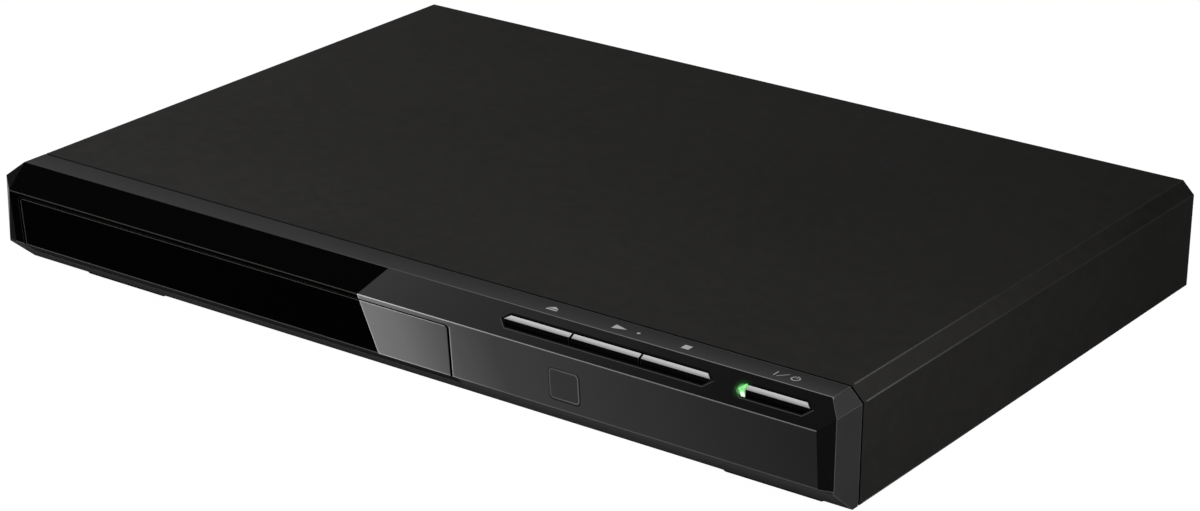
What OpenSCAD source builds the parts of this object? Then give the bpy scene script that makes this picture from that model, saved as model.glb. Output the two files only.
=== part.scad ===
// Slim disc player with a motor-driven tray, millimetres, +Z up, front towards -Y.
// The origin is the middle of the footprint, on the surface that the feet stand on.

/* [Casing] */
// Width over the side faces
body_w = 320; // [316:1:330]
// Height of the casing without its feet
body_h = 36; // [35.5:0.5:38]
// Depth of the steel cover, from its front edge to the rear panel
cover_d = 207; // [206:1:220]
// Width of the 45-degree edge between the top and each side
edge_c = 4.2; // [3:0.1:5]
// Thickness of the cover, chassis and rear sheets
sheet_t = 0.8; // [0.6:0.1:1]
// Height of the feet with their pads
foot_h = 3; // [2.5:0.1:3.5]
// How far the socket barrels stand out behind the rear panel
barrel_out = 7.8; // [7:0.1:9]

/* [Front face] */
// Depth of the matte strip in front of the cover
strip_d = 9.5; // [8:0.1:11]
// How far the ridge stands in front of the cover
ridge_d = 17.2; // [16.5:0.1:19]
// How far the ridge lies below the top
ridge_drop = 7.5; // [7:0.1:8.5]
// Height of the lower edge of the glossy face above the casing's underside
low_edge_h = 9.9; // [9.5:0.1:10.5]
// How far that lower edge stands in front of the cover
low_edge_d = 15.2; // [14.5:0.1:16]
// How far the underside stands in front of the cover
base_d = 3; // [2:0.1:4]
// Width that the bevel at each end takes off the ridge
bevel_w = 4.4; // [3.5:0.1:5]
// Thickness of the glossy face, measured front to back
fascia_t = 2.2; // [2:0.1:2.6]
// Wall of the matte frame
wall_t = 2; // [1.8:0.1:2.4]

/* [Tray door] */
// Left edge of the door opening
door_x0 = -152; // [-153:0.5:-150]
// Right edge of the door opening
door_x1 = 26.6; // [24:0.1:30]
// Distance from the ridge down to the top edge of the opening
door_below_ridge = 1.4; // [1.2:0.1:1.6]
// How high the opening's lower edge lies above the casing's underside
door_low = 6.1; // [5.5:0.1:6.5]
// Gap over and under the door
door_gap = 0.5; // [0.4:0.1:0.6]
// Gap at each end of the door
door_end_gap = 1; // [0.6:0.1:1.2]

/* [Keys] */
// Half height of the key slots on the sloping face
slot_half = 2.05; // [1.9:0.05:2.2]
// Distance from the upper edge of the sloping face to the slots' middle line
slot_s = 5.1; // [4.8:0.1:5.4]
// Left tip of the slot with three keys
keys_x0 = 43.8; // [42:0.1:46]
// Pitch of the three keys
key_pitch = 24.7; // [23:0.1:25]
// Left tip of the power key's slot
power_x0 = 126.9; // [126:0.1:128]
// Right tip of the power key's slot
power_x1 = 151.3; // [149:0.1:151.5]
// Play between a key and its slot
key_gap = 0.3; // [0.25:0.05:0.35]
// Gap between two keys of the row
key_split = 0.8; // [0.5:0.1:1]

/* [Loader] */
// Width of the disc tray
tray_w = 140; // [138:1:140]
// Radius of the disc recess
well_r = 61; // [60.5:0.1:61.5]
// How far the tray runs out
tray_travel = 132; // [126:1:132]
// Distance from the ridge to the disc's centre with the tray shut
disc_back = 71; // [71:0.5:73]
// Height of the tray's top over the surface that the player stands on
tray_top = 27.5; // [27.5:0.1:27.8]
// Depth of the disc recess
well_d = 6; // [5:0.1:6]
// Lens distance from the spindle at the start of its travel
lens_r0 = 24; // [24:0.5:25]
// Travel of the optical head
sled_travel = 34; // [30:1:34]

/* [Hidden] */
$fn = 48;
eps = 0.01;

// ---- places of the casing ----
half_w = body_w / 2;
y_ridge = -(ridge_d + cover_d + barrel_out) / 2;
y_seam = y_ridge + ridge_d;
y_back = y_seam + cover_d;
z_base = foot_h;
z_top = foot_h + body_h;
z_floor = z_base + sheet_t;
seam_gap = 0.7;
panel_gap = 0.3;

// ---- outline of the front face: distances in front of the seam and heights ----
face_slope = ridge_drop / (ridge_d - strip_d);
face_angle = atan(face_slope);
corner_d = strip_d + edge_c / face_slope;
low_slope = low_edge_h / (low_edge_d - base_d);
corner_h = (corner_d - base_d) * low_slope;

// ---- places of the loader ----
tray_x = (door_x0 + door_x1) / 2;
disc_y = y_ridge + disc_back;
well_z = tray_top - well_d;
tray_floor_t = 1.6;
floor_z = well_z - tray_floor_t;
rail_z = floor_z - 2.9;
rail_t = 3.5;
tray_front = y_ridge + 6;
tray_back = disc_y + well_r + 6;
tail_back = tray_back + 40;
slot_half_w = 20;
frame_front = y_seam + 1.8;
frame_back = 70;
frame_wall = 2.4;
frame_in = tray_w / 2 + 0.6;
frame_out = frame_in + frame_wall;
base_z = 11.5;
base_t = 2;
base_top = base_z + base_t;
wall_top = tray_top + 1;
bridge_z = tray_top + 2;
bridge_t = 1.4;
play = 0.3;
fit = 0.06;

// ---- gear train under the tray: module, teeth and centres ----
gear_m = 1;
drive_teeth = 30;
pinion_teeth = 12;
drive_r = gear_m * drive_teeth / 2;
pinion_r = gear_m * pinion_teeth / 2;
gear_z = floor_z - 2.7;
gear_t = 2.3;
rack_x = tray_x + 62;
drive_x = rack_x - drive_r;
gear_y = -76;
pulley_x = drive_x - drive_r - pinion_r;
pulley_z = 14.2;
pulley_t = 2.5;
pulley_r = 12;
motor_x = tray_x - 12;
motor_y = -84;
motor_r = 10;
motor_pulley_r = 3.2;
belt_w = 1.2;

// ---- lifting traverse: pivot behind, cam pin in front ----
seat_z = well_z + 1;
deck_z = 9.3;
deck_t = 1.2;
deck_top = deck_z + deck_t;
deck_half = 38;
deck_front = disc_y - 21;
deck_back = 60;
pivot_y = 55;
pivot_z = 11;
pivot_r = 2;
cam_pin_x = tray_x - 24;
cam_pin_z = 12;
cam_pin_r = 1.2;
cam_run = 14;
cam_drop = 4.2;
cam_y0 = -73;
cam_t = 1.8;
rod_x = 28;
rod_r = 1.5;
rod_z = 13.5;
screw_x = 34;
lens_y = disc_y + lens_r0;
lens_z = seat_z - 1.3;

// ---- boards and sockets ----
board_z = 10;
board_t = 1.6;
board_top = board_z + board_t;
socket_y = 98;
barrel_r = 4.15;
barrel_neck_r = 3.8;
barrel_wall = 0.5;
contact_r = 1.6;
core_r = 2.9;
av_x = [27, 41, 55];
av_z = [17.5, 31];
coax_x = 70;
digital_x = 88;
digital_z = 15.6;
inlet_x = 138;
inlet_z = 20.5;

cover_screw_x = [-140, 0, 140];
cover_screw_z = z_top - 6.5;
screw_r = 1.5;

// ---- feet ----
front_foot_x = [-122, 131];
rear_foot_x = [-125, 125];
foot_len = 33;
foot_deep = 15;
foot_run = 5;
pad_t = 0.5;
front_foot_y = y_seam + seam_gap;
rear_foot_y = y_back - 24;

// ---- screws: where the loader and the two boards stand on the chassis ----
loader_fixings = [for (x = [-58, 58], y = [-90, 62]) [tray_x + x, y]];
main_fixings = [[22, 26], [91, 26], [22, 88]];
supply_fixings = [for (x = [105, 151], y = [-14, 84]) [x, y]];

// Colours that repeat
matte_black = [0.16, 0.16, 0.17];
gloss_black = [0.02, 0.02, 0.025];
steel = [0.62, 0.63, 0.65];
natural_plastic = [0.12, 0.12, 0.13];

// ---- helpers ----
// Extrudes a Y-Z outline along X, centred on x
module along_x(w, x = 0) {
    translate([x, 0, 0]) rotate([90, 0, 90]) linear_extrude(w, center = true) children();
}

// Extrudes an X-Z outline from y0 to y1
module along_y(y0, y1) {
    translate([0, y1, 0]) rotate([90, 0, 0]) linear_extrude(y1 - y0) children();
}

// Box between two corners
module block(a, b) {
    translate(a) cube(b - a);
}

// Cylinder along Y from y0 to y1
module rod_along_y(r, y0, y1, x, z) {
    translate([x, y1, z]) rotate([90, 0, 0]) cylinder(r = r, h = y1 - y0);
}

// Cylinder along X from x0 to x1
module rod_along_x(r, x0, x1, y, z) {
    translate([x0, y, z]) rotate([0, 90, 0]) cylinder(r = r, h = x1 - x0);
}

// Upright cylinder from z0 to z1
module post(r, z0, z1, x, y) {
    translate([x, y, z0]) cylinder(r = r, h = z1 - z0);
}

// Casing section with its chamfered upper corners, inset by i
function casing_section(i, z0 = z_base) = [
    [-half_w + i, z0], [half_w - i, z0],
    [half_w - i, z_top - edge_c - i * (sqrt(2) - 1)], [half_w - edge_c - i * (sqrt(2) - 1), z_top - i],
    [-half_w + edge_c + i * (sqrt(2) - 1), z_top - i],
    [-half_w + i, z_top - edge_c - i * (sqrt(2) - 1)]];

// Frame of the sloping upper face: X along it, Y up the slope, Z out of the face
module on_slope() {
    translate([0, y_seam - strip_d, z_top]) rotate([face_angle, 0, 0]) children();
}

// Everything past a plane through p with normal n
module beyond(p, n, size = 60) {
    u = n / norm(n);
    translate(p) rotate([0, acos(u[2]), atan2(u[1], u[0])])
        translate([-size / 2, -size / 2, 0]) cube([size, size, size]);
}

// Involute tooth outline: points of one flank at growing radius
function involute(rb, r) = let(t = sqrt(max(0, pow(r / rb, 2) - 1))) (t * 180 / PI - atan(t));

// Spur gear outline with backlash taken off each flank
module gear_outline(teeth, m, slack = 0.28, press = 20) {
    rp = m * teeth / 2;
    rb = rp * cos(press);
    ra = rp + m * 0.95;
    rf = rp - m * 1.25;
    half = 90 / teeth - slack / 2 / rp * 180 / PI;
    radii = [for (k = [0:4]) max(rb, rf) + (ra - max(rb, rf)) * k / 4];
    at_pitch = involute(rb, rp);
    polygon([for (i = [0:teeth - 1]) let(c = i * 360 / teeth)
        each concat(
            [[rf * cos(c - 180 / teeth), rf * sin(c - 180 / teeth)],
             [rf * cos(c - half - at_pitch), rf * sin(c - half - at_pitch)]],
            [for (r = radii) let(a = c - half - at_pitch + involute(rb, r)) [r * cos(a), r * sin(a)]],
            [for (k = [4:-1:0]) let(r = radii[k], a = c + half + at_pitch - involute(rb, r))
                [r * cos(a), r * sin(a)]],
            [[rf * cos(c + half + at_pitch), rf * sin(c + half + at_pitch)]])]);
}

// ---- casing ----
// Solid behind the two sloping faces, the undercut and the bevelled ends, too large on every other side
module front_core() {
    grow = 3;
    tip = half_w - bevel_w;
    ridge_tip = [tip, y_ridge, z_top - ridge_drop];
    end_low = [half_w, y_seam - corner_d, z_base + corner_h];
    end_run = grow * (ridge_d - corner_d) / bevel_w;
    difference() {
        intersection() {
            along_x(body_w + 2 * grow) polygon([
                [y_seam + grow, z_base - grow], [y_seam + grow, z_top + grow],
                [y_seam - strip_d + grow / face_slope, z_top + grow], [y_ridge, z_top - ridge_drop],
                [y_seam - low_edge_d, z_base + low_edge_h],
                [y_seam - base_d + grow / low_slope, z_base - grow]]);
            linear_extrude(z_top + 2 * grow) polygon([
                [-half_w - grow, y_seam + grow], [half_w + grow, y_seam + grow],
                [half_w + grow, y_seam - corner_d + end_run], [tip, y_ridge],
                [-tip, y_ridge], [-half_w - grow, y_seam - corner_d + end_run]]);
        }
        for (side = [0, 1]) mirror([side, 0, 0])
            beyond(ridge_tip,
                cross(ridge_tip - end_low, [tip, y_seam - low_edge_d, z_base + low_edge_h] - end_low));
    }
}

// Outer form of the whole front, from the cover's seam forwards
module front_envelope() {
    intersection() {
        front_core();
        along_y(y_ridge - 1, y_seam) polygon(casing_section(0));
    }
}

// Room in front of the matte frame, above the glossy face's lower edge
module fascia_room() {
    lap = 0.1;
    difference() {
        translate([0, 0, z_base + low_edge_h - lap]) linear_extrude(body_h) polygon([
            [-half_w - 5, y_ridge - 1], [half_w + 5, y_ridge - 1],
            [half_w + 5, y_seam - corner_d - 5 + lap], [half_w - edge_c, y_seam - strip_d + lap],
            [-half_w + edge_c, y_seam - strip_d + lap], [-half_w - 5, y_seam - corner_d - 5 + lap]]);
        translate([0, fascia_t, 0]) front_core();
    }
}

// Opening for the tray and its door, with rounded upper corners; inset by g, and at the ends by end_g
module door_opening(g = 0, end_g = 0) {
    z1 = z_top - ridge_drop - door_below_ridge - g;
    z0 = z_base + door_low + g;
    r = 1.6 - g;
    along_y(y_ridge - 5, y_seam + 5) union() {
        translate([door_x0 + end_g, z0]) square([door_x1 - door_x0 - 2 * end_g, z1 - z0 - r]);
        translate([door_x0 + end_g + r, z0]) square([door_x1 - door_x0 - 2 * end_g - 2 * r, z1 - z0]);
        for (x = [door_x0 + end_g + r, door_x1 - end_g - r]) translate([x, z1 - r]) circle(r);
    }
}

// Long hexagon on the sloping face, inset by g
module slot_outline(x0, x1, g = 0) {
    h = slot_half - g;
    polygon([[x0 + g * 1.4, -slot_s], [x0 + slot_half, h - slot_s], [x1 - slot_half, h - slot_s],
        [x1 - g * 1.4, -slot_s], [x1 - slot_half, -h - slot_s], [x0 + slot_half, -h - slot_s]]);
}

keys_x1 = keys_x0 + 3 * key_pitch;
module key_slots(depth) {
    on_slope() translate([0, 0, -depth]) linear_extrude(depth + 5) {
        slot_outline(keys_x0, keys_x1);
        slot_outline(power_x0, power_x1);
    }
}

// Rounded square through which the remote control's light enters
ir_x = 68.5;
ir_z = z_base + 18.2;
ir_w = 11.1;
ir_h = 10.4;
module ir_outline(g = 0) {
    r = 1.5 - g;
    translate([ir_x - ir_w / 2 + g, ir_z - ir_h / 2 + g]) union() {
        translate([r, 0]) square([ir_w - 2 * g - 2 * r, ir_h - 2 * g]);
        translate([0, r]) square([ir_w - 2 * g, ir_h - 2 * g - 2 * r]);
        for (x = [r, ir_w - 2 * g - r], z = [r, ir_h - 2 * g - r]) translate([x, z]) circle(r);
    }
}

module top_cover() {
    color([0.14, 0.14, 0.14]) union() {
        difference() {
            along_y(y_seam + seam_gap, y_back) polygon(casing_section(0));
            along_y(y_seam, y_back + 1) polygon(casing_section(sheet_t, z_base - 1));
        }
        // tabs bent down inside the rear panel for the screws
        for (x = cover_screw_x) difference() {
            block([x - 7, y_back - 2.4, z_top - 11], [x + 7, y_back - 1.6, z_top - sheet_t + eps]);
            rod_along_y(screw_r + 0.1, y_back - 3, y_back, x, cover_screw_z);
        }
    }
}

chassis_in = half_w - sheet_t - panel_gap;
module bottom_chassis() {
    board_posts = concat(main_fixings, supply_fixings);
    color(steel) difference() {
        union() {
            block([-chassis_in, y_seam + seam_gap, z_base], [chassis_in, y_back - sheet_t, z_floor]);
            for (side = [-1, 1])
                translate([side * (chassis_in - sheet_t / 2), 0, 0])
                    block([-sheet_t / 2, y_seam + 6, z_base],
                        [sheet_t / 2, y_back - 2, z_base + 16]);
            for (p = loader_fixings) post(3.6, z_base, base_z - 1.2, p[0], p[1]);
            for (p = board_posts) post(3, z_base, board_z, p[0], p[1]);
            // pressed stiffening bars
            for (x = [tray_x - 20, tray_x + 20])
                block([x - 2, -60, z_floor], [x + 2, 40, z_floor + 0.5]);
        }
        for (p = loader_fixings) post(1.3, z_floor + 1, base_z, p[0], p[1]);
        for (p = board_posts) post(1.2, z_floor + 1, board_z + 1, p[0], p[1]);
        // air slots under the supply and the main board
        for (k = [0:8]) block([108 + k * 5, 0, z_base - 1], [110.4 + k * 5, 34, z_floor + 1]);
        for (k = [0:8]) block([30 + k * 6, 46, z_base - 1], [32.4 + k * 6, 74, z_floor + 1]);
    }
}

module rear_panel() {
    color(matte_black) difference() {
        along_y(y_back - sheet_t, y_back) polygon(casing_section(sheet_t + 0.1, z_floor));
        for (x = av_x, z = av_z) rod_along_y(5, y_back - 2, y_back + 1, x, z);
        rod_along_y(5, y_back - 2, y_back + 1, coax_x, av_z[0]);
        block([digital_x - 7.8, y_back - 2, digital_z - 3.1], [digital_x + 7.8, y_back + 1, digital_z + 3.1]);
        block([inlet_x - 11.3, y_back - 2, inlet_z - 6.8], [inlet_x + 11.3, y_back + 1, inlet_z + 6.8]);
        for (x = cover_screw_x) rod_along_y(screw_r + 0.1, y_back - 2, y_back + 1, x, cover_screw_z);
        // air slots behind the loader
        for (k = [0:15]) block([-120 + k * 6, y_back - 2, 14], [-117 + k * 6, y_back + 1, 28]);
    }
}

module front_panel() {
    color([0.2, 0.2, 0.21]) union() {
        difference() {
            front_envelope();
            fascia_room();
            // hollow behind the front wall, open at the seam
            intersection() {
                translate([0, fascia_t + wall_t, 0]) front_core();
                along_y(y_ridge, y_seam + 1) polygon(casing_section(wall_t, z_base + wall_t));
            }
            door_opening();
            key_slots(8);
            along_y(y_ridge - 5, y_seam) ir_outline(1);
        }
        // lip that carries the cover's front edge
        difference() {
            along_y(y_seam - 1.5, y_seam + 4) polygon(casing_section(sheet_t + 0.2, z_base + 5));
            along_y(y_seam - 2, y_seam + 5) polygon(casing_section(wall_t, z_base + 4));
        }
    }
}

module front_fascia() {
    color(gloss_black) difference() {
        intersection() {
            front_envelope();
            fascia_room();
        }
        door_opening();
        key_slots(4);
        along_y(y_ridge - 5, y_seam) ir_outline();
    }
}

module ir_window() {
    color([0.05, 0.02, 0.03]) intersection() {
        difference() {
            front_envelope();
            translate([0, 1.6, 0]) front_core();
        }
        along_y(y_ridge - 5, y_seam) ir_outline(0.1);
    }
}

board_s = 11.6;
board_n = 8.6;
power_key_x0 = power_x0 + 2.7;
stem_r = 1.6;
flange_n = (fascia_t + wall_t) * sin(face_angle) + play;
key_travel = 0.7;
// Circuit board behind the sloping face, parallel to it
module front_board() {
    color([0.1, 0.3, 0.16]) on_slope() difference() {
        translate([36, -board_s, -board_n - 1.2]) cube([120, board_s + 1, 1.2]);
        for (x = [40, 152]) translate([x, -board_s + 3, -board_n - 2]) cylinder(r = 1.5, h = 4);
    }
}

module key_switches() {
    centres = [for (k = [0:2]) keys_x0 + key_pitch * (k + 0.5), (power_key_x0 + power_x1) / 2];
    color([0.15, 0.15, 0.15]) on_slope() for (x = centres) difference() {
        translate([x - 3, -slot_s - 3, -board_n]) cube([6, 6, 3.4]);
        translate([x, -slot_s, -board_n + 1.2]) cylinder(r = stem_r + play, h = 4);
    }
}

module ir_receiver() {
    color([0.1, 0.1, 0.1]) union() {
        block([ir_x - 3.2, y_ridge + 8, ir_z - 4], [ir_x + 3.2, y_ridge + 12, ir_z + 2.4]);
        intersection() {
            translate([ir_x, y_ridge + 8, ir_z - 0.6]) sphere(r = 2.4);
            block([ir_x - 3, y_ridge + 5, ir_z - 4], [ir_x + 3, y_ridge + 8.5, ir_z + 2.4]);
        }
        for (x = [-2, 0, 2])
            block([ir_x + x - 0.25, y_ridge + 10.3, ir_z + 2.3], [ir_x + x + 0.25, y_ridge + 10.8, ir_z + 5]);
    }
}

// Clear light guide that forms the left end of the power key's slot
module led_lens() {
    color([0.45, 0.95, 0.45]) on_slope() translate([0, 0, -6]) linear_extrude(6)
        intersection() {
            slot_outline(power_x0, power_x1, 0.1);
            translate([power_x0, -slot_s - slot_half]) square([2.3, 2 * slot_half]);
        }
}

module cover_screws() {
    z = cover_screw_z;
    color([0.2, 0.2, 0.2]) for (x = cover_screw_x) union() {
        rod_along_y(screw_r, y_back - 5, y_back + eps, x, z);
        difference() {
            rod_along_y(3, y_back, y_back + 1.8, x, z);
            block([x - 1.8, y_back + 0.9, z - 0.4], [x + 1.8, y_back + 2, z + 0.4]);
            block([x - 0.4, y_back + 0.9, z - 1.8], [x + 0.4, y_back + 2, z + 1.8]);
        }
    }
}

// Low bar with sloping ends; y is its front edge
module foot(x, y) {
    along_y(y, y + foot_deep) polygon([
        [x - foot_len / 2, pad_t], [x + foot_len / 2, pad_t],
        [x + foot_len / 2 + foot_run, foot_h], [x - foot_len / 2 - foot_run, foot_h]]);
}

module front_feet() {
    color(matte_black) for (x = front_foot_x) foot(x, front_foot_y);
}

module rear_feet() {
    color(matte_black) for (x = rear_foot_x) foot(x, rear_foot_y);
}

module foot_pads() {
    places = concat([for (x = front_foot_x) [x, front_foot_y]], [for (x = rear_foot_x) [x, rear_foot_y]]);
    rim = 1;
    color([0.08, 0.08, 0.08]) for (p = places)
        block([p[0] - foot_len / 2 + rim, p[1] + rim, 0],
            [p[0] + foot_len / 2 - rim, p[1] + foot_deep - rim, pad_t]);
}

// ---- loader ----
module loader_frame() {
    color(natural_plastic) difference() {
        union() {
            block([tray_x - frame_out, frame_front, base_z], [tray_x + frame_out, frame_back, base_top]);
            for (side = [-1, 1]) {
                translate([tray_x + side * (frame_in + frame_wall / 2), 0, 0])
                    block([-frame_wall / 2, frame_front, base_z], [frame_wall / 2, frame_back, wall_top]);
                // ledge that the tray's rails run on
                translate([tray_x + side * (frame_in - 2.2), 0, 0])
                    block([-2.2, frame_front, base_z], [2.2, frame_back, rail_z - play]);
                // tabs that hold the tray down
                for (y = [-93, -20])
                    translate([tray_x + side * (frame_in - 2.2), y, 0])
                        block([-2.2 - eps, 0, tray_top + play], [2.2 + eps, 9, wall_top + 0.8]);
                // bearings of the traverse's pivot
                translate([tray_x + side * (deck_half + 4.8), 0, 0])
                    block([-2.4, pivot_y - 4, pivot_z - 4], [2.4, pivot_y + 4, base_top]);
            }
            block([tray_x - frame_out, frame_back - frame_wall, base_z],
                [tray_x + frame_out, frame_back, wall_top]);
            // bosses under the gears
            post(4, base_z, gear_z - play, drive_x, gear_y);
            post(3.4, base_z, pulley_z - play, pulley_x, gear_y);
        }
        // window for the traverse
        block([tray_x - deck_half - 2.4, -69.2, base_z - 1], [tray_x + deck_half + 2.4, 64, base_top + 1]);
        for (side = [-1, 1])
            rod_along_x(pivot_r + fit, tray_x + side * (deck_half + 4.8) - 3,
                tray_x + side * (deck_half + 4.8) + 3, pivot_y, pivot_z);
        // slot that guides the cam slider, and notch for the traverse's pin
        block([tray_x - 58, cam_y0 - play, base_z - 1], [tray_x, cam_y0 + cam_t + play, base_top + 1]);
        block([cam_pin_x - 3, cam_y0 - 1.2, base_z - 1], [cam_pin_x + 3, -69, base_top + 1]);
        post(motor_r + 0.1, base_z - 1, base_top + 1, motor_x, motor_y);
        for (p = loader_fixings) post(1.7, base_z - 1, base_top + 1, p[0], p[1]);
    }
    // pins that the gears turn on
    color(natural_plastic) {
        post(2, gear_z - play, gear_z + gear_t - 0.1, drive_x, gear_y);
        post(1.5, pulley_z - play, gear_z + gear_t - 0.1, pulley_x, gear_y);
    }
}

module rubber_dampers() {
    color([0.05, 0.05, 0.05]) for (p = loader_fixings) difference() {
        post(4.6, base_z - 1.2, base_z, p[0], p[1]);
        post(1.7, base_z - 2, base_z + 1, p[0], p[1]);
    }
}

// Cross-head screw with its head on z, at p
module cross_screw(p, z, r, long, head_r, head_h) {
    arm = head_r * 0.6;
    slot = head_r * 0.12;
    translate([p[0], p[1], z]) difference() {
        union() {
            translate([0, 0, -long]) cylinder(r = r, h = long + eps);
            cylinder(r = head_r, h = head_h);
        }
        block([-arm, -slot, head_h * 0.5], [arm, slot, head_h + 1]);
        block([-slot, -arm, head_h * 0.5], [slot, arm, head_h + 1]);
    }
}

module loader_screws() {
    color(steel) for (p = loader_fixings) cross_screw(p, base_top, 1.25, base_t + 4, 3, 1.7);
}

module loading_motor() {
    color(steel) union() {
        post(motor_r, z_floor + 0.6, base_top, motor_x, motor_y);
        post(3, base_top - eps, base_top + 0.4, motor_x, motor_y);
        post(1, base_top, pulley_z + pulley_t + 0.2, motor_x, motor_y);
    }
}

// Square rubber belt round the two pulleys
module drive_belt() {
    color([0.03, 0.03, 0.03]) translate([0, 0, pulley_z + 0.65]) linear_extrude(belt_w) difference() {
        hull() {
            translate([pulley_x, gear_y]) circle(pulley_r - 0.9 + belt_w);
            translate([motor_x, motor_y]) circle(motor_pulley_r - 0.7 + belt_w);
        }
        hull() {
            translate([pulley_x, gear_y]) circle(pulley_r - 0.9);
            translate([motor_x, motor_y]) circle(motor_pulley_r - 0.7);
        }
    }
}

// Grooved pulley with its groove bottom at r - depth
module pulley(r, depth) {
    rotate_extrude() polygon([
        [0, 0], [r, 0], [r, 0.45], [r - depth, 0.55], [r - depth, pulley_t - 0.55],
        [r, pulley_t - 0.45], [r, pulley_t], [0, pulley_t]]);
}

module motor_pulley() {
    color([0.85, 0.82, 0.72]) difference() {
        translate([motor_x, motor_y, pulley_z]) pulley(motor_pulley_r, 0.8);
        post(1 + fit, pulley_z - 1, pulley_z + pulley_t + 1, motor_x, motor_y);
    }
}

module pulley_gear() {
    color([0.85, 0.82, 0.72]) difference() {
        union() {
            translate([pulley_x, gear_y, pulley_z]) pulley(pulley_r, 1);
            post(3, pulley_z, gear_z + 0.1, pulley_x, gear_y);
            translate([pulley_x, gear_y, gear_z]) rotate([0, 0, 180 / pinion_teeth])
                linear_extrude(gear_t) gear_outline(pinion_teeth, gear_m);
        }
        post(1.5 + fit, pulley_z - 1, gear_z + gear_t + 1, pulley_x, gear_y);
    }
}

module drive_gear() {
    color([0.85, 0.82, 0.72]) difference() {
        translate([drive_x, gear_y, gear_z]) linear_extrude(gear_t) gear_outline(drive_teeth, gear_m);
        post(2 + fit, gear_z - 1, gear_z + gear_t + 1, drive_x, gear_y);
    }
}

// One tooth gap apart along Y, teeth pointing to -X from the pitch line
module rack_outline(y0, y1) {
    pitch = PI * gear_m;
    slack = 0.28;
    tip_w = pitch / 2 - slack - 2 * gear_m * tan(20);
    root_w = pitch / 2 - slack + 2 * 1.1 * gear_m * tan(20);
    n0 = ceil((y0 - gear_y) / pitch - 0.5);
    n1 = floor((y1 - gear_y) / pitch - 0.5);
    translate([rack_x + 1.25, y0]) square([tray_x + tray_w / 2 - rail_t - rack_x - 1.25 + eps, y1 - y0]);
    for (k = [n0:n1]) translate([rack_x, gear_y + (k + 0.5) * pitch])
        polygon([[-0.95, -tip_w / 2], [1.26, -root_w / 2], [1.26, root_w / 2], [-0.95, tip_w / 2]]);
}

module disc_tray() {
    hw = tray_w / 2;
    color([0.1, 0.1, 0.11]) difference() {
        union() {
            block([tray_x - hw, tray_front, floor_z], [tray_x + hw, tray_back, tray_top]);
            for (side = [-1, 1]) translate([tray_x + side * (hw - rail_t / 2), 0, 0]) {
                block([-rail_t / 2, tray_front + 6, rail_z], [rail_t / 2, tail_back, floor_z + eps]);
                block([-rail_t / 2, tray_back - 1, floor_z], [rail_t / 2, tail_back, floor_z + 4]);
            }
            translate([0, 0, gear_z - 0.1]) linear_extrude(floor_z - gear_z + 0.1 + eps)
                rack_outline(-96, tail_back - 2);
            // web that carries the rack along the tail
            block([rack_x + 1.25, tray_back - 1, floor_z], [tray_x + hw, tail_back - 2, floor_z + 1.4]);
        }
        // disc recess, and the deeper one for small discs
        post(well_r, well_z, tray_top + 1, tray_x, disc_y);
        post(40.5, well_z - 0.5, well_z + 1, tray_x, disc_y);
        // hollows under the corners, outside the recess wall
        difference() {
            block([tray_x - hw + rail_t, tray_front + 2, floor_z - 1],
                [tray_x + hw - rail_t, tray_back - 2, tray_top - 1.8]);
            post(well_r + 1.6, floor_z - 2, tray_top, tray_x, disc_y);
            block([rack_x - 1, tray_front, floor_z - 2], [tray_x + hw, tray_back, floor_z + 1.4]);
        }
        // way for the turntable and the optical head, open at the back
        block([tray_x - slot_half_w, disc_y, floor_z - 1],
            [tray_x + slot_half_w, tray_back + 1, tray_top + 1]);
        post(slot_half_w, floor_z - 1, tray_top + 1, tray_x, disc_y);
        // finger dips at both sides of the recess
        for (side = [-1, 1]) post(12, well_z + 1, tray_top + 1, tray_x + side * (well_r - 2), disc_y);
    }
}

module tray_door() {
    color(gloss_black) union() {
        intersection() {
            difference() {
                front_envelope();
                translate([0, 2.4, 0]) front_core();
            }
            door_opening(door_gap, door_end_gap);
        }
        // clips that snap onto the tray's front edge
        for (x = [-50, 0, 50])
            block([tray_x + x - 6, y_ridge + 3.4, floor_z - 3], [tray_x + x + 6, tray_front, tray_top - 4]);
    }
}

module clamp_bridge() {
    y0 = disc_y - 18;
    y1 = disc_y + 18;
    color(steel) difference() {
        union() {
            block([tray_x - frame_out, y0, bridge_z], [tray_x + frame_out, y1, bridge_z + bridge_t]);
            for (side = [-1, 1]) translate([tray_x + side * (frame_out - 1.5), 0, 0])
                block([-1.5, y0, wall_top], [1.5, y1, bridge_z + eps]);
            for (y = [y0, y1 - 1.2])
                block([tray_x - 60, y, bridge_z], [tray_x + 60, y + 1.2, bridge_z + 3.4]);
        }
        post(10.6, bridge_z - 1, bridge_z + 4, tray_x, disc_y);
        for (side = [-1, 1]) post(8, bridge_z - 1, bridge_z + bridge_t + 1, tray_x + side * 40, disc_y);
    }
}

// Magnetic puck that presses the disc on the turntable
module clamp_puck() {
    lift = seat_z + 1.3;
    color([0.8, 0.8, 0.78]) translate([tray_x, disc_y, 0]) rotate_extrude() polygon([
        [8, lift], [15.5, lift], [15.5, lift + 1.6], [9.5, lift + 1.9],
        [9.5, bridge_z + bridge_t + 0.6], [13, bridge_z + bridge_t + 0.6],
        [13, bridge_z + bridge_t + 1.8], [0, bridge_z + bridge_t + 1.8],
        [0, lift + 2.2], [8, lift + 2.2]]);
}

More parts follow.
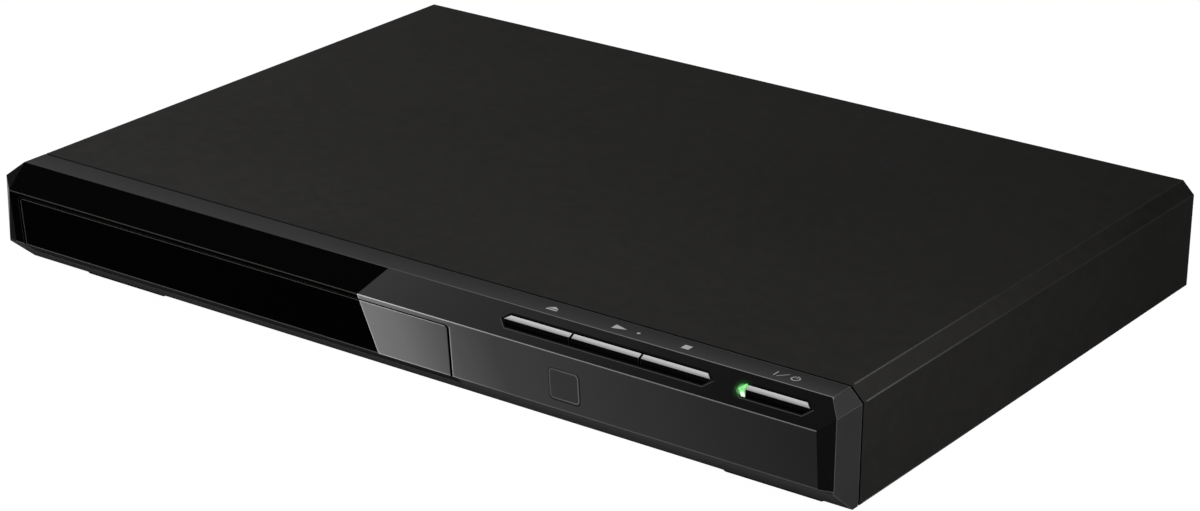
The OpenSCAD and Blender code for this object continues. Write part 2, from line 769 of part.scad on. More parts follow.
module cam_slider() {
    color([0.75, 0.74, 0.7]) difference() {
        union() {
            block([tray_x - 56, cam_y0, 5.2], [tray_x - 16, cam_y0 + cam_t, 15.5]);
            block([tray_x - 56, cam_y0 - 3, base_top + play], [tray_x - 26, cam_y0 + eps, base_top + 1.5]);
        }
        // sloping slot for the traverse's pin, level at neither end
        along_y(cam_y0 - 1, cam_y0 + cam_t + 1) {
            for (k = [0, 1])
                translate([cam_pin_x - k * cam_run, cam_pin_z - k * cam_drop]) circle(cam_pin_r + play);
            translate([cam_pin_x, cam_pin_z]) rotate(180 + atan(cam_drop / cam_run))
                translate([0, -cam_pin_r - play])
                    square([norm([cam_run, cam_drop]), 2 * (cam_pin_r + play)]);
        }
    }
}

module traverse_deck() {
    color([0.18, 0.18, 0.19]) difference() {
        union() {
            block([tray_x - deck_half, deck_front, deck_z], [tray_x + deck_half, deck_back, deck_top]);
            for (side = [-1, 1]) {
                translate([tray_x + side * (deck_half - 0.8), 0, 0])
                    block([-0.8, deck_front, deck_z], [0.8, deck_back, deck_z + 4]);
                rod_along_x(pivot_r, side > 0 ? tray_x + deck_half - 1 : tray_x - deck_half - 6.6,
                    side > 0 ? tray_x + deck_half + 6.6 : tray_x - deck_half + 1, pivot_y, pivot_z);
            }
            // stub and pin that ride in the cam slider
            block([cam_pin_x - 2, deck_front - 2, deck_z],
                [cam_pin_x + 2, deck_front + eps, cam_pin_z + 1.2]);
            rod_along_y(cam_pin_r, cam_y0 - 0.6, deck_front - 1.9, cam_pin_x, cam_pin_z);
            // front bearing of the lead screw
            block([tray_x + screw_x - 2, disc_y + 12.5, deck_top - eps],
                [tray_x + screw_x + 2, disc_y + 15, rod_z + 2]);
            // seats of the guide rods
            for (x = [-rod_x, rod_x], y = [disc_y + 12.5, 43])
                block([tray_x + x - 2.6, y, deck_top - eps], [tray_x + x + 2.6, y + 2.6, rod_z + 2.6]);
        }
        block([tray_x - 25, disc_y + 15.5, deck_z - 1], [tray_x + 25, 42.5, deck_top + 1]);
        for (x = [-rod_x, rod_x]) rod_along_y(rod_r, disc_y + 10, 50, tray_x + x, rod_z);
        rod_along_y(1 + fit, disc_y + 12, disc_y + 16, tray_x + screw_x, rod_z);
    }
}

module spindle_motor() {
    color([0.25, 0.35, 0.25]) difference() {
        union() {
            block([tray_x - 20, disc_y - 15.5, deck_top], [tray_x + 20, disc_y + 12, deck_top + 0.8]);
            post(5, deck_top, deck_top + 1.3, tray_x, disc_y);
            post(2.2, deck_top, deck_top + 6.4, tray_x, disc_y);
        }
        post(1.06, deck_top + 0.6, deck_top + 8, tray_x, disc_y);
    }
}

module turntable() {
    r0 = deck_top + 1.7;
    color([0.3, 0.3, 0.32]) translate([tray_x, disc_y, 0]) rotate_extrude() polygon([
        [0, deck_top + 1], [1, deck_top + 1], [1, r0 + 5], [2.5, r0 + 5], [2.5, r0 + 4.6],
        [12.3, r0 + 4.6], [12.3, r0], [13, r0], [13, r0 + 5.6], [6, r0 + 5.6], [6, seat_z - 1.4],
        [15, seat_z - 1.4], [15, seat_z], [7.4, seat_z], [6.2, seat_z + 1.9], [0, seat_z + 1.9]]);
}

module guide_rods() {
    color([0.8, 0.8, 0.82]) for (x = [-rod_x, rod_x])
        rod_along_y(rod_r, disc_y + 12.5, 45.6, tray_x + x, rod_z);
}

module sled_motor() {
    x = tray_x + screw_x - 4;
    r = 6;
    color(steel) union() {
        intersection() {
            rod_along_y(r, 46.2, 59, x, rod_z + 3.3);
            block([x - r, 46, deck_top], [x + r, 60, rod_z + 8.4]);
        }
        rod_along_y(2, 59 - eps, 59.7, x, rod_z + 3.3);
    }
}

module lead_screw() {
    color([0.75, 0.72, 0.6]) translate([tray_x + screw_x, 0, rod_z]) union() {
        rod_along_y(1, disc_y + 12.7, 43.7, 0, 0);
        for (k = [0:18]) translate([0, disc_y + 17 + k * 3.2, 0]) rotate([-90, 0, 0])
            rotate_extrude() polygon([[0, 0], [1, 0], [1.5, 0.5], [1.5, 1.1], [1, 1.6], [0, 1.6]]);
    }
}

module pickup_body() {
    y0 = lens_y - 8;
    y1 = lens_y + 22;
    color([0.35, 0.36, 0.38]) difference() {
        union() {
            block([tray_x - 22, y0, deck_top + 0.8], [tray_x + 22, y1, rod_z + 4]);
            block([tray_x - 13, y0 + 1, rod_z + 3], [tray_x + 13, lens_y + 14, rod_z + 5.8]);
            // sleeve on one rod, fork on the other
            rod_along_y(3, y0 + 2, y1 - 2, tray_x - rod_x, rod_z);
            block([tray_x - rod_x, y0 + 2, rod_z - 1.8], [tray_x - 21, y1 - 2, rod_z + 1.8]);
            for (z = [rod_z + rod_r + play, rod_z - rod_r - play - 1.2])
                block([tray_x + 21, lens_y, z], [tray_x + rod_x + 1.4, lens_y + 8, z + 1.2]);
            // finger that follows the lead screw
            block([tray_x + 21, lens_y + 10, rod_z + rod_r + play],
                [tray_x + screw_x - 1.8, lens_y + 16, rod_z + rod_r + play + 1.2]);
            block([tray_x + screw_x - 3, lens_y + 10, rod_z - 1],
                [tray_x + screw_x - 1.8, lens_y + 16, rod_z + rod_r + play + 1.2]);
        }
        rod_along_y(rod_r + fit, y0, y1, tray_x - rod_x, rod_z);
        post(3.4, rod_z + 2, rod_z + 7, tray_x, lens_y);
    }
}

module pickup_lens() {
    color([0.55, 0.65, 0.9]) translate([tray_x, lens_y, 0]) union() {
        difference() {
            post(3.3, rod_z + 2, lens_z - 0.3, 0, 0);
            post(2.2, rod_z + 4, lens_z, 0, 0);
        }
        intersection() {
            translate([0, 0, lens_z - 4]) sphere(r = 4);
            post(2.2, rod_z + 3.9, lens_z + 1, 0, 0);
        }
    }
}

module loader_board() {
    color([0.1, 0.3, 0.16]) union() {
        block([tray_x - 34, frame_back + 0.6, 14], [tray_x + 34, frame_back + 2.2, 26]);
        block([tray_x + 6, frame_back + 2.2, 17], [tray_x + 30, frame_back + 7, 22]);
    }
}

// ---- electronics ----
module power_board() {
    color([0.62, 0.5, 0.3]) difference() {
        block([100, -20, board_z], [156, 105, board_top]);
        for (p = supply_fixings) post(1.6, board_z - 1, board_top + 1, p[0], p[1]);
    }
}

module transformer() {
    color([0.75, 0.65, 0.25]) union() {
        block([112, 30, board_top], [140, 54, board_top + 3]);
        block([115, 32, board_top + 3], [137, 52, board_top + 17]);
        block([112, 34, board_top + 6], [140, 50, board_top + 14]);
        block([112, 30, board_top + 17], [140, 54, board_top + 19]);
    }
}

module board_capacitors() {
    color([0.1, 0.1, 0.25]) {
        post(8, board_top, board_top + 20, 121, 68);
        for (x = [108, 120, 132]) post(5, board_top, board_top + 14, x, 12);
        for (x = [110, 126]) post(4, board_top, board_top + 11, x, -8);
        for (p = [[30, 40], [44, 36], [82, 40]]) post(3.2, board_top, board_top + 8, p[0], p[1]);
    }
}

module heat_sink() {
    color([0.75, 0.76, 0.78]) union() {
        block([145, 20, board_top], [147, 60, board_top + 22]);
        for (k = [0:3]) block([147 - eps, 22 + k * 11, board_top + 4], [152, 23.4 + k * 11, board_top + 22]);
    }
}

module mains_fuse() {
    color([0.85, 0.85, 0.8]) union() {
        rod_along_y(2.6, 62, 82, 146, board_top + 4);
        for (y = [62.5, 78.5]) difference() {
            block([142.8, y, board_top], [149.2, y + 3, board_top + 5]);
            rod_along_y(2.6, y - 1, y + 4, 146, board_top + 4);
        }
    }
}

module main_board() {
    color([0.1, 0.3, 0.16]) difference() {
        block([17, 20, board_z], [96, 105, board_top]);
        for (p = main_fixings) post(1.6, board_z - 1, board_top + 1, p[0], p[1]);
    }
}

module decoder_chip() {
    color([0.06, 0.06, 0.06]) {
        block([48, 52, board_top], [68, 72, board_top + 1.6]);
        block([74, 56, board_top], [84, 68, board_top + 1.2]);
        block([28, 56, board_top], [40, 64, board_top + 1.2]);
    }
}

module board_screws() {
    color(steel) for (p = concat(main_fixings, supply_fixings))
        cross_screw(p, board_top, 1.1, board_t + 4, 2.8, 1.5);
}

module av_socket_block() {
    color([0.12, 0.12, 0.12]) difference() {
        union() {
            block([20, 93, board_top], [62, y_back - sheet_t, 38]);
            block([63.4, 93, board_top], [76.6, y_back - sheet_t, 24]);
        }
        for (x = av_x, z = av_z) rod_along_y(barrel_neck_r, socket_y, y_back + 1, x, z);
        rod_along_y(barrel_neck_r, socket_y, y_back + 1, coax_x, av_z[0]);
    }
}

// Metal barrel with a narrower neck inside the block and a core that has the centre contact's hole
module av_barrel(x, z) {
    tip = y_back + barrel_out;
    difference() {
        union() {
            rod_along_y(barrel_r, y_back, tip, x, z);
            rod_along_y(barrel_neck_r, socket_y, y_back + eps, x, z);
        }
        difference() {
            rod_along_y(barrel_r - barrel_wall, y_back + 1, tip + 1, x, z);
            rod_along_y(core_r, y_back, tip - 0.6, x, z);
        }
        rod_along_y(contact_r, socket_y + 3, tip + 1, x, z);
    }
}

module av_barrels() {
    color([0.8, 0.8, 0.78]) {
        for (x = av_x, z = av_z) av_barrel(x, z);
        av_barrel(coax_x, av_z[0]);
    }
}

module digital_socket() {
    color([0.7, 0.7, 0.7]) union() {
        difference() {
            block([digital_x - 7.5, 96, digital_z - 2.8], [digital_x + 7.5, y_back + 0.4, digital_z + 2.8]);
            block([digital_x - 7, 98, digital_z - 2.3], [digital_x + 7, y_back + 1, digital_z + 2.3]);
        }
        block([digital_x - 5.5, 97, digital_z - 0.2], [digital_x + 5.5, y_back - 0.6, digital_z + 0.7]);
        block([digital_x - 7.5, 97, board_top], [digital_x + 7.5, 104, digital_z - 2.7]);
    }
}

inlet_pin = 4.3;
module mains_inlet() {
    color([0.08, 0.08, 0.08]) union() {
        difference() {
            union() {
                block([inlet_x - 11, 91, inlet_z - 6.5], [inlet_x + 11, y_back, inlet_z + 6.5]);
                block([inlet_x - 13, y_back, inlet_z - 8.5], [inlet_x + 13, y_back + 1.4, inlet_z + 8.5]);
                block([inlet_x - 8, 93, board_top], [inlet_x + 8, 104, inlet_z - 6.4]);
            }
            for (side = [-1, 1]) rod_along_y(4.9, 97, y_back + 3, inlet_x + side * inlet_pin, inlet_z);
            block([inlet_x - inlet_pin, 97, inlet_z - 4.9], [inlet_x + inlet_pin, y_back + 3, inlet_z + 4.9]);
        }
        for (side = [-1, 1]) rod_along_y(1.2, 96, y_back - 1.5, inlet_x + side * inlet_pin, inlet_z);
    }
}

// Flat cables: loader to main board, and main board to the front board
module flat_cables() {
    t = 0.4;
    front_x0 = 72;
    front_x1 = 84;
    color([0.85, 0.85, 0.85]) {
        along_x(16, tray_x + 18) polygon([
            [frame_back + 7, 19.2], [80, 19.2], [80, 32], [84, 32], [84, 32 - t],
            [80 + t, 32 - t], [80 + t, 19.2 - t], [frame_back + 7, 19.2 - t]]);
        block([tray_x + 10, 80, 32 - t], [30, 84, 32]);
        block([26, 80, board_top], [30, 80 + t, 32 - t / 2]);
        block([front_x0, -92, 14], [front_x1, 22, 14 + t]);
        block([front_x0, 22 - t, board_top], [front_x1, 22, 14 + eps]);
        block([front_x0, -92, 14], [front_x1, -92 + t, 26]);
        block([front_x0, y_ridge + 8.5, 26 - t], [front_x1, -92 + t, 26]);
    }
}

// ---- keys ----
// Key cap between x0 and x1: ridged cap, flange that stops it behind the wall, stem into its switch
module key_cap(x0, x1) {
    under = -flange_n - 0.7;
    on_slope() {
        intersection() {
            rotate([90, 0, 90]) translate([0, 0, x0]) linear_extrude(x1 - x0) polygon([
                [-slot_s + slot_half - key_gap, under], [-slot_s + slot_half - key_gap, -0.25],
                [-slot_s + 0.1, 0.25], [-slot_s - slot_half + key_gap, -1.3],
                [-slot_s - slot_half + key_gap, under]]);
            translate([0, 0, -board_n]) linear_extrude(12) children();
        }
        translate([x0 + 2, -slot_s - slot_half - 0.8, under]) cube([x1 - x0 - 4, 2 * slot_half + 1.6, 0.7]);
        translate([(x0 + x1) / 2, -slot_s, -board_n + 1.2 + key_travel + play])
            cylinder(r = stem_r, h = board_n - flange_n - 1.2 - key_travel - play);
    }
}

module row_key(k) {
    x0 = keys_x0 + k * key_pitch + (k == 0 ? 0 : key_split / 2);
    x1 = keys_x0 + (k + 1) * key_pitch - (k == 2 ? 0 : key_split / 2);
    color([0.75, 0.75, 0.73]) key_cap(x0, x1) slot_outline(keys_x0, keys_x1, key_gap);
}

module eject_key() { row_key(0); }

module play_key() { row_key(1); }

module stop_key() { row_key(2); }

module power_key() {
    color([0.75, 0.75, 0.73]) key_cap(power_key_x0, power_x1)
        slot_outline(power_x0, power_x1, key_gap);
}

top_cover();
bottom_chassis();
rear_panel();
front_panel();
front_fascia();
ir_window();
ir_receiver();
led_lens();
front_board();
key_switches();
cover_screws();
front_feet();
rear_feet();
foot_pads();
loader_frame();
rubber_dampers();
loader_screws();
loading_motor();
drive_belt();
clamp_bridge();
loader_board();
power_board();
transformer();
board_capacitors();
heat_sink();
mains_fuse();
main_board();
decoder_chip();
av_socket_block();
av_barrels();
digital_socket();
mains_inlet();
flat_cables();
board_screws();
disc_tray();
tray_door();
motor_pulley();
pulley_gear();
drive_gear();
cam_slider();
traverse_deck();
spindle_motor();
guide_rods();
sled_motor();
turntable();
clamp_puck();
lead_screw();
pickup_body();
pickup_lens();
eject_key();
play_key();
stop_key();
power_key();
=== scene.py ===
import math
import bmesh
import bpy
import numpy as np
from mathutils import Matrix, Vector


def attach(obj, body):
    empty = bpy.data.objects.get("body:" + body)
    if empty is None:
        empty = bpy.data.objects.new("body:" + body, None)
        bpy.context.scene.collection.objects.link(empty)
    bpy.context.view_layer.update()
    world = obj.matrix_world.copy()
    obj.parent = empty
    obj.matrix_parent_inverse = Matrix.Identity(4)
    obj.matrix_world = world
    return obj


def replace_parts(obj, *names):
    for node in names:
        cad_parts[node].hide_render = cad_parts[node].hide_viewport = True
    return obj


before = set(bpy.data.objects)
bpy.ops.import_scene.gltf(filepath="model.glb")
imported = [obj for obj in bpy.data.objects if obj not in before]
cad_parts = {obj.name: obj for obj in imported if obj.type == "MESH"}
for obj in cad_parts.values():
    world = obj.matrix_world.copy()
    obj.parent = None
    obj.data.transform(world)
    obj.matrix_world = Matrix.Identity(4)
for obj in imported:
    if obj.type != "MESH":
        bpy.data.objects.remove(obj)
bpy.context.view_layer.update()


# ---------------------------------------------------------------- chassis
# A tray of zinc-plated steel with pressed stiffening bars, stand-offs and air slots. The sheet shows
# its rolling lines and faint crystals; pan-head screws from below hold the front frame and the rear.
def maths(operation, turned=False):
    """A method that puts its wire and another value through a Math node, the other first if turned."""
    def method(self, other):
        values = (other, self) if turned else (self, other)
        return self.paint.node("ShaderNodeMath", {"operation": operation}, *values)
    return method


class Wire:
    """An output of a shader node. Arithmetic on wires and numbers adds Math nodes."""

    __add__, __radd__ = maths("ADD"), maths("ADD", turned=True)
    __sub__, __rsub__ = maths("SUBTRACT"), maths("SUBTRACT", turned=True)
    __mul__, __rmul__ = maths("MULTIPLY"), maths("MULTIPLY", turned=True)
    __truediv__, __pow__, __mod__ = maths("DIVIDE"), maths("POWER"), maths("FLOORED_MODULO")
    __gt__, __lt__ = maths("GREATER_THAN"), maths("LESS_THAN")
    least, most = maths("MINIMUM"), maths("MAXIMUM")

    def __init__(self, paint, socket):
        self.paint, self.socket = paint, socket

    def __abs__(self):
        return self.paint.node("ShaderNodeMath", {"operation": "ABSOLUTE"}, self)

    def clamped(self):
        """This wire, held between 0 and 1."""
        return self.paint.node("ShaderNodeMath", {"operation": "ADD", "use_clamp": True}, self, 0.0)

    def wave(self, pitch):
        """A sine along this wire, from 0 to 1, once per pitch."""
        angle = self * (2 * math.pi / pitch)
        return self.paint.node("ShaderNodeMath", {"operation": "SINE"}, angle) * 0.5 + 0.5

    def band(self, pitch, share):
        """1 on stripes across this wire: the middle share of every pitch."""
        return abs((self / pitch) % 1.0 - 0.5) < share / 2


class Paint:
    """A material, or the world, that is built one node at a time."""

    def __init__(self, owner):
        self.owner = owner
        self.owner.use_nodes = True
        self.tree = owner.node_tree
        self.tree.nodes.clear()

    def node(self, kind, settings, *values, output=0, **named):
        """Adds a node: settings first, then its inputs by place or by name (underscores for spaces)."""
        n = self.tree.nodes.new(kind)
        for key, value in settings.items():
            if key == "stops":
                ramp = n.color_ramp
                while len(ramp.elements) < len(value):
                    ramp.elements.new(0.5)
                for element, (place, colour) in zip(ramp.elements, value):
                    element.position, element.color = place, (*colour[:3], 1.0)
            else:
                setattr(n, key, value)
        for key, value in [*enumerate(values), *named.items()]:
            if value is None:
                continue
            socket = n.inputs[key.replace("_", " ") if isinstance(key, str) else key]
            if isinstance(value, Wire):
                self.tree.links.new(value.socket, socket)
            else:
                socket.default_value = value
        return Wire(self, n.outputs[output]) if n.outputs else None

    def axes(self, vector):
        """The x, y and z of a vector."""
        return [self.node("ShaderNodeSeparateXYZ", {}, vector, output=k) for k in range(3)]

    def true_normal(self):
        return self.node("ShaderNodeNewGeometry", {}, output="True Normal")

    def facing(self):
        """How far the true normal points along x, y and z, without its sign."""
        return [abs(part) for part in self.axes(self.true_normal())]

    def noise(self, at, scale, detail=2.0, rough=0.5):
        return self.node("ShaderNodeTexNoise", {}, Vector=at, Scale=scale, Detail=detail, Roughness=rough)

    def cells(self, at, scale, feature="F1", output=0):
        """Voronoi cells: the distance to their middles, or their own colour with another output."""
        return self.node("ShaderNodeTexVoronoi", {"feature": feature}, Vector=at, Scale=scale, output=output)

    def stretch(self, at, x, y, z):
        """Object coordinates stretched along the axes, for grain that runs one way."""
        return self.node("ShaderNodeVectorMath", {"operation": "MULTIPLY"}, at, (x, y, z))

    def ramp(self, factor, *stops):
        """Colours by place, as (place, colour) stops."""
        return self.node("ShaderNodeValToRGB", {"stops": stops}, factor)

    def greys(self, factor, *stops):
        """Neutral colours by place, as (place, screen level) stops."""
        return self.ramp(factor, *((place, grey(level)) for place, level in stops))

    def blend(self, factor, a, b):
        """Colour a where factor is 0 and b where it is 1."""
        n = self.tree.nodes.new("ShaderNodeMix")
        n.data_type = "RGBA"
        for socket, value in ((n.inputs[0], factor), (n.inputs[6], a), (n.inputs[7], b)):
            if isinstance(value, Wire):
                self.tree.links.new(value.socket, socket)
            else:
                socket.default_value = (*value, 1.0) if isinstance(value, tuple) else value
        return Wire(self, n.outputs[2])

    def mix(self, factor, a, b):
        """Shader a where factor is 0 and b where it is 1."""
        return self.node("ShaderNodeMixShader", {}, factor, a, b)

    def rim(self, radius, gain=12.0):
        """0 on flat faces, rising to 1 on sharp edges: how far a rounded normal leaves the true one."""
        rounded = self.node("ShaderNodeBevel", {"samples": 6}, Radius=radius)
        match = self.node("ShaderNodeVectorMath", {"operation": "DOT_PRODUCT"}, rounded, self.true_normal(),
                          output="Value")
        return ((1.0 - match) * gain).clamped()

    def coat(self, colour, rough, metal=0.0, specular=0.5, height=None, depth=0.0, edge=0.0, **more):
        """A Principled surface. height, from 0 to 1, is a relief of depth metres; edge rounds the edges."""
        normal = self.node("ShaderNodeBevel", {"samples": 4}, Radius=edge) if edge else None
        if height is not None:
            normal = self.node("ShaderNodeBump", {}, Strength=1.0, Distance=depth, Height=height,
                               Normal=normal)
        if isinstance(colour, tuple):
            colour = (*colour[:3], 1.0)
        return self.node("ShaderNodeBsdfPrincipled", {}, Base_Color=colour, Roughness=rough, Metallic=metal,
                         Specular_IOR_Level=specular, Normal=normal, **more)

    def done(self, shader):
        """Puts the shader on the output; returns the material."""
        self.node("ShaderNodeOutputMaterial", {}, shader)
        return self.owner

    def finish(self, *values, **named):
        """A material of one Principled surface, with the values of coat."""
        return self.done(self.coat(*values, **named))


def start(name):
    """A new material, then the object coordinates: the whole vector, and its x, y and z."""
    paint = Paint(bpy.data.materials.new(name))
    at = paint.node("ShaderNodeTexCoord", {}, output="Object")
    return paint, at, *paint.axes(at)


def distance(*offsets):
    """The length of a vector: the root of the sum of its squared offsets."""
    squares = [offset * offset for offset in offsets]
    return sum(squares[1:], squares[0]) ** 0.5


def grey(level, warm=0.0):
    """A neutral colour from its 0 to 255 screen level; warm shifts it towards yellow or, below 0, blue."""
    def linear(v):
        v = max(0.0, v) / 255
        return v / 12.92 if v < 0.04045 else ((v + 0.055) / 1.055) ** 2.4
    return linear(level + warm), linear(level), linear(level - warm)


def tinted(colour, factor, lift=0.0):
    """A colour times factor plus lift, held at 1."""
    return tuple(min(1.0, c * factor + lift) for c in colour)


def wear(material, *nodes):
    """Gives CAD nodes their finish."""
    for name in nodes:
        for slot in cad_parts[name].material_slots:
            slot.material = material
    return material


SAME_POINT = 1e-7
SHARP_FROM = math.radians(38)


def make_piece(name, body, slot, *parts):
    """One mesh from parts, each a grid of points (copies, rows, columns, 3) in millimetres and a material.
    Every point joins its neighbours in quads, the columns close to rings, and rows that shrink to a point
    close the ends. The turn attribute is the cosine of a point's place in its ring."""
    points, quads, marks, turns, count = [], [], [], [], 0
    mesh = bpy.data.meshes.new(name)
    for index, (grid, material) in enumerate(parts):
        copies, rows, columns = grid.shape[:3]
        number = count + np.arange(copies * rows * columns).reshape(copies, rows, columns)
        beside = np.roll(number, -1, axis=2)
        corners = number[:, :-1], beside[:, :-1], beside[:, 1:], number[:, 1:]
        quads.append(np.stack(corners, axis=-1).reshape(-1, 4))
        marks.append(np.full(len(quads[-1]), index))
        points.append(grid.reshape(-1, 3) * 0.001)
        turn = np.cos(np.arange(columns) * 2 * np.pi / columns)
        turns.append(np.tile(turn, copies * rows))
        count += copies * rows * columns
        mesh.materials.append(material)
    mesh.from_pydata(np.concatenate(points).tolist(), [], np.concatenate(quads).tolist())
    mesh.polygons.foreach_set("material_index", np.concatenate(marks).astype(np.int32))
    mesh.attributes.new("turn", "FLOAT", "POINT").data.foreach_set("value", np.concatenate(turns))
    shape = bmesh.new()
    shape.from_mesh(mesh)
    bmesh.ops.remove_doubles(shape, verts=shape.verts, dist=SAME_POINT)
    bmesh.ops.recalc_face_normals(shape, faces=shape.faces)
    shape.to_mesh(mesh)
    shape.free()
    mesh.polygons.foreach_set("use_smooth", np.ones(len(mesh.polygons), bool))
    mesh.set_sharp_from_angle(angle=SHARP_FROM)
    piece = bpy.data.objects.new(name, mesh)
    bpy.context.scene.collection.objects.link(piece)
    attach(piece, body)
    return piece


def crossed_heads(places, out, radius, height, arm=0.62, width=0.13, depth=0.6, dome=0.55, rings=16):
    """Heads with a cross on them: over a polar grid the height falls along a quarter circle by dome, and
    drops by depth where a point lies in one of two crossing bars, whose walls slope over 0.05 of the
    radius. out is the order of the axes and the sign."""
    ratio = np.concatenate([[0.0, 1.0], np.linspace(1.0, 0.0, rings)])
    angle = np.linspace(0, 2 * np.pi, 64, endpoint=False)
    u, v = ratio[:, None] * np.cos(angle), ratio[:, None] * np.sin(angle)
    rise = 1.0 - dome + dome * np.sqrt(np.maximum(0.0, 1.0 - 0.96 * ratio[:, None] ** 2)) + 0 * u
    bar = np.minimum(np.abs(u), np.abs(v))
    inside = np.clip((width - bar) / 0.05, 0, 1) * np.clip((arm - ratio[:, None]) / 0.06, 0, 1)
    rise = (rise - depth * inside) * height
    rise[:2] = 0.0
    order, sign = out
    shape = np.stack([u * radius, v * radius, rise * sign], axis=-1)[..., order]
    return np.array(places, float)[:, None, None, :] + shape


UP, DOWN, BACK, LEFT = ([0, 1, 2], 1), ([0, 1, 2], -1), ([0, 2, 1], 1), ([2, 0, 1], -1)


def sheet_steel(name, light, rough, run, metal=1.0):
    """Plated sheet: rolling lines along run, faint crystals, smudges left by handling, and pale painted
    highlights on its edges.
    """
    paint, at, *_ = start(name)
    rolled = paint.noise(paint.stretch(at, *run), 1400.0, 3.0)
    crystal = paint.cells(at, 260.0, output="Color")
    smudge = paint.noise(at, 22.0, 4.0)
    tone = rolled * 0.45 + crystal * 0.12 + smudge * 0.43
    dark, pale = tinted(light, 0.66), tinted(light, 1.2)
    # The edges are painted pale: a painted highlight where they would catch the light.
    colour = paint.blend(paint.rim(0.0004) * 0.6, paint.ramp(tone, (0.32, dark), (0.68, pale)), pale)
    return paint.finish(colour, (rough - 0.1) + smudge * 0.2, metal, height=rolled, depth=0.00001,
                        edge=0.0002)


wear(sheet_steel("zinc_sheet", (0.55, 0.56, 0.57), 0.38, (0.04, 1.0, 1.0)), "bottom_chassis")

paint, at, *_ = start("zinc_screw")
turned_lines = paint.noise(at, 2600.0, 2.0)
hollow = paint.noise(at, 300.0)
zinc_screw = paint.finish(paint.blend(hollow, (0.5, 0.5, 0.47), (0.72, 0.71, 0.66)),
                          0.24 + turned_lines * 0.2, 1.0, height=turned_lines, depth=0.00001, edge=0.0001)
below_front = [(along, -90, 3) for along in (-60, 5, 70)]
below_rear = [(along, 101, 3) for along in (-90, 0, 90)]
make_piece("underside_screws", "casing", "zinc_steel",
           (crossed_heads(below_front + below_rear, DOWN, radius=2.9, height=1.6), zinc_screw))


# ---------------------------------------------------------------- feet and pads
# Low black bars with sloping ends, moulded with a fine spark texture, each on a thin pad of foam rubber
# whose open pores show from below.
def moulded(name, dark, light, rough=0.5, specular=0.2, grain=1800.0, depth=0.00003, edge_glint=0.3, ink=None):
    """Moulded plastic: spark-eroded grain, slow clouds where the melt flowed, and paler edges that are
    painted highlights. ink is a function that prints on the colour."""
    paint, at, x, y, z = start(name)
    spark = paint.noise(at, grain, 3.0)
    flow = paint.noise(at, 35.0, 3.0)
    colour = paint.blend((flow * 0.7 + spark * 0.3).clamped(), dark, light)
    # Painted highlight: the edges are paler where they would catch the light.
    colour = paint.blend(paint.rim(0.00025) * edge_glint, colour, tinted(light, 1.8, lift=0.01))
    if ink:
        colour = ink(paint, x, y, z, colour)
    return paint.finish(colour, rough - 0.08 + spark * 0.16, specular=specular, height=spark, depth=depth,
                        edge=0.0002)


wear(moulded("foot_plastic", grey(11), grey(18), 0.5, 0.004), "front_feet", "rear_feet")

paint, at, *_ = start("foam_rubber")
pores = paint.cells(at, 2200.0)
dust = paint.noise(at, 120.0, 4.0)
foam = paint.blend(dust, grey(22), grey(44, 1))
# The open pores are painted near black: painted shade inside them.
foam_rubber = paint.finish(paint.blend((0.35 - pores).clamped() * 2.0, foam, grey(10)), 0.85,
                           specular=0.05, height=pores, depth=0.00008)
wear(foam_rubber, "foot_pads")


# ---------------------------------------------------------------- loader frame, dampers and screws
# One moulding in black plastic that carries the whole drive. Ejector pins have left shallow rings on its
# floor. It rests on four soft rubber rings, held by cross-head screws.
def ejector_rings(paint, x, y, z, colour):
    """Thin rings on level faces, where the middle of the nearest cell of the grid is one radius away."""
    pitch_x, pitch_y, radius, half_line = 0.018, 0.021, 0.0021, 0.00012
    across, along = (x / pitch_x) % 1.0 - 0.5, (y / pitch_y) % 1.0 - 0.5
    reach = distance(across * pitch_x, along * pitch_y)
    ring = (abs(reach - radius) < half_line) * (paint.facing()[2] > 0.9)
    return paint.blend(ring * 0.7, colour, grey(70))


wear(moulded("loader_plastic", grey(34), grey(46), 0.5, 0.25, ink=ejector_rings), "loader_frame")

paint, at, *_ = start("soft_rubber")
bloom = paint.noise(at, 260.0, 4.0)
fine = paint.noise(at, 3000.0)
soft_rubber = paint.finish(paint.blend(bloom, grey(20), grey(42, 0.5)), 0.68 + bloom * 0.2, specular=0.15,
                           height=fine, depth=0.00002, edge=0.0003)
wear(soft_rubber, "rubber_dampers")


def screw_paint(name, light, recess, spin=3200.0):
    """Turned heads: fine rings of the lathe, painted shade on faces that face neither up nor back, which
    darkens the cross, and paler edges that are painted highlights.
    """
    paint, at, *_ = start(name)
    fine = paint.noise(at, spin, 2.0)
    cloud = paint.noise(at, 420.0)
    _, rearwards, upwards = paint.facing()
    flat = upwards.most(rearwards)
    colour = paint.blend(cloud, tinted(light, 0.75), light)
    # Painted shade: faces that face neither up nor back, such as the walls of the cross, are darkened by
    # recess.
    colour = paint.blend((flat < 0.5) * recess, colour, tinted(light, 0.35))
    # Painted highlight: paler edges.
    colour = paint.blend(paint.rim(0.00015) * 0.5, colour, tinted(light, 1.5))
    return paint.finish(colour, 0.22 + fine * 0.2, 1.0, height=fine, depth=0.00001, edge=0.00015)


wear(screw_paint("bright_zinc", (0.6, 0.6, 0.57), 0.4), "loader_screws", "board_screws")


# ---------------------------------------------------------------- loading motor, belt and gears
# A small can motor with its pulley drives a square rubber belt; the pulley gear and the drive gear, in
# unfilled acetal, step it down to the tray's rack. Two leads run under the frame to the loader board.
TRAY_X, DISC_Y = -62.7, -45.0
LOADING_MOTOR_X, LOADING_MOTOR_Y = TRAY_X - 12, -84.0


def from_disc(x, y, middle_y=DISC_Y):
    """Distance in plan from the disc's axis, or from another place on the tray's middle line."""
    return distance(x - TRAY_X / 1000, y - middle_y / 1000)


def between(place, low, high):
    """1 where a wire lies between two values."""
    return (place > low) * (place < high)


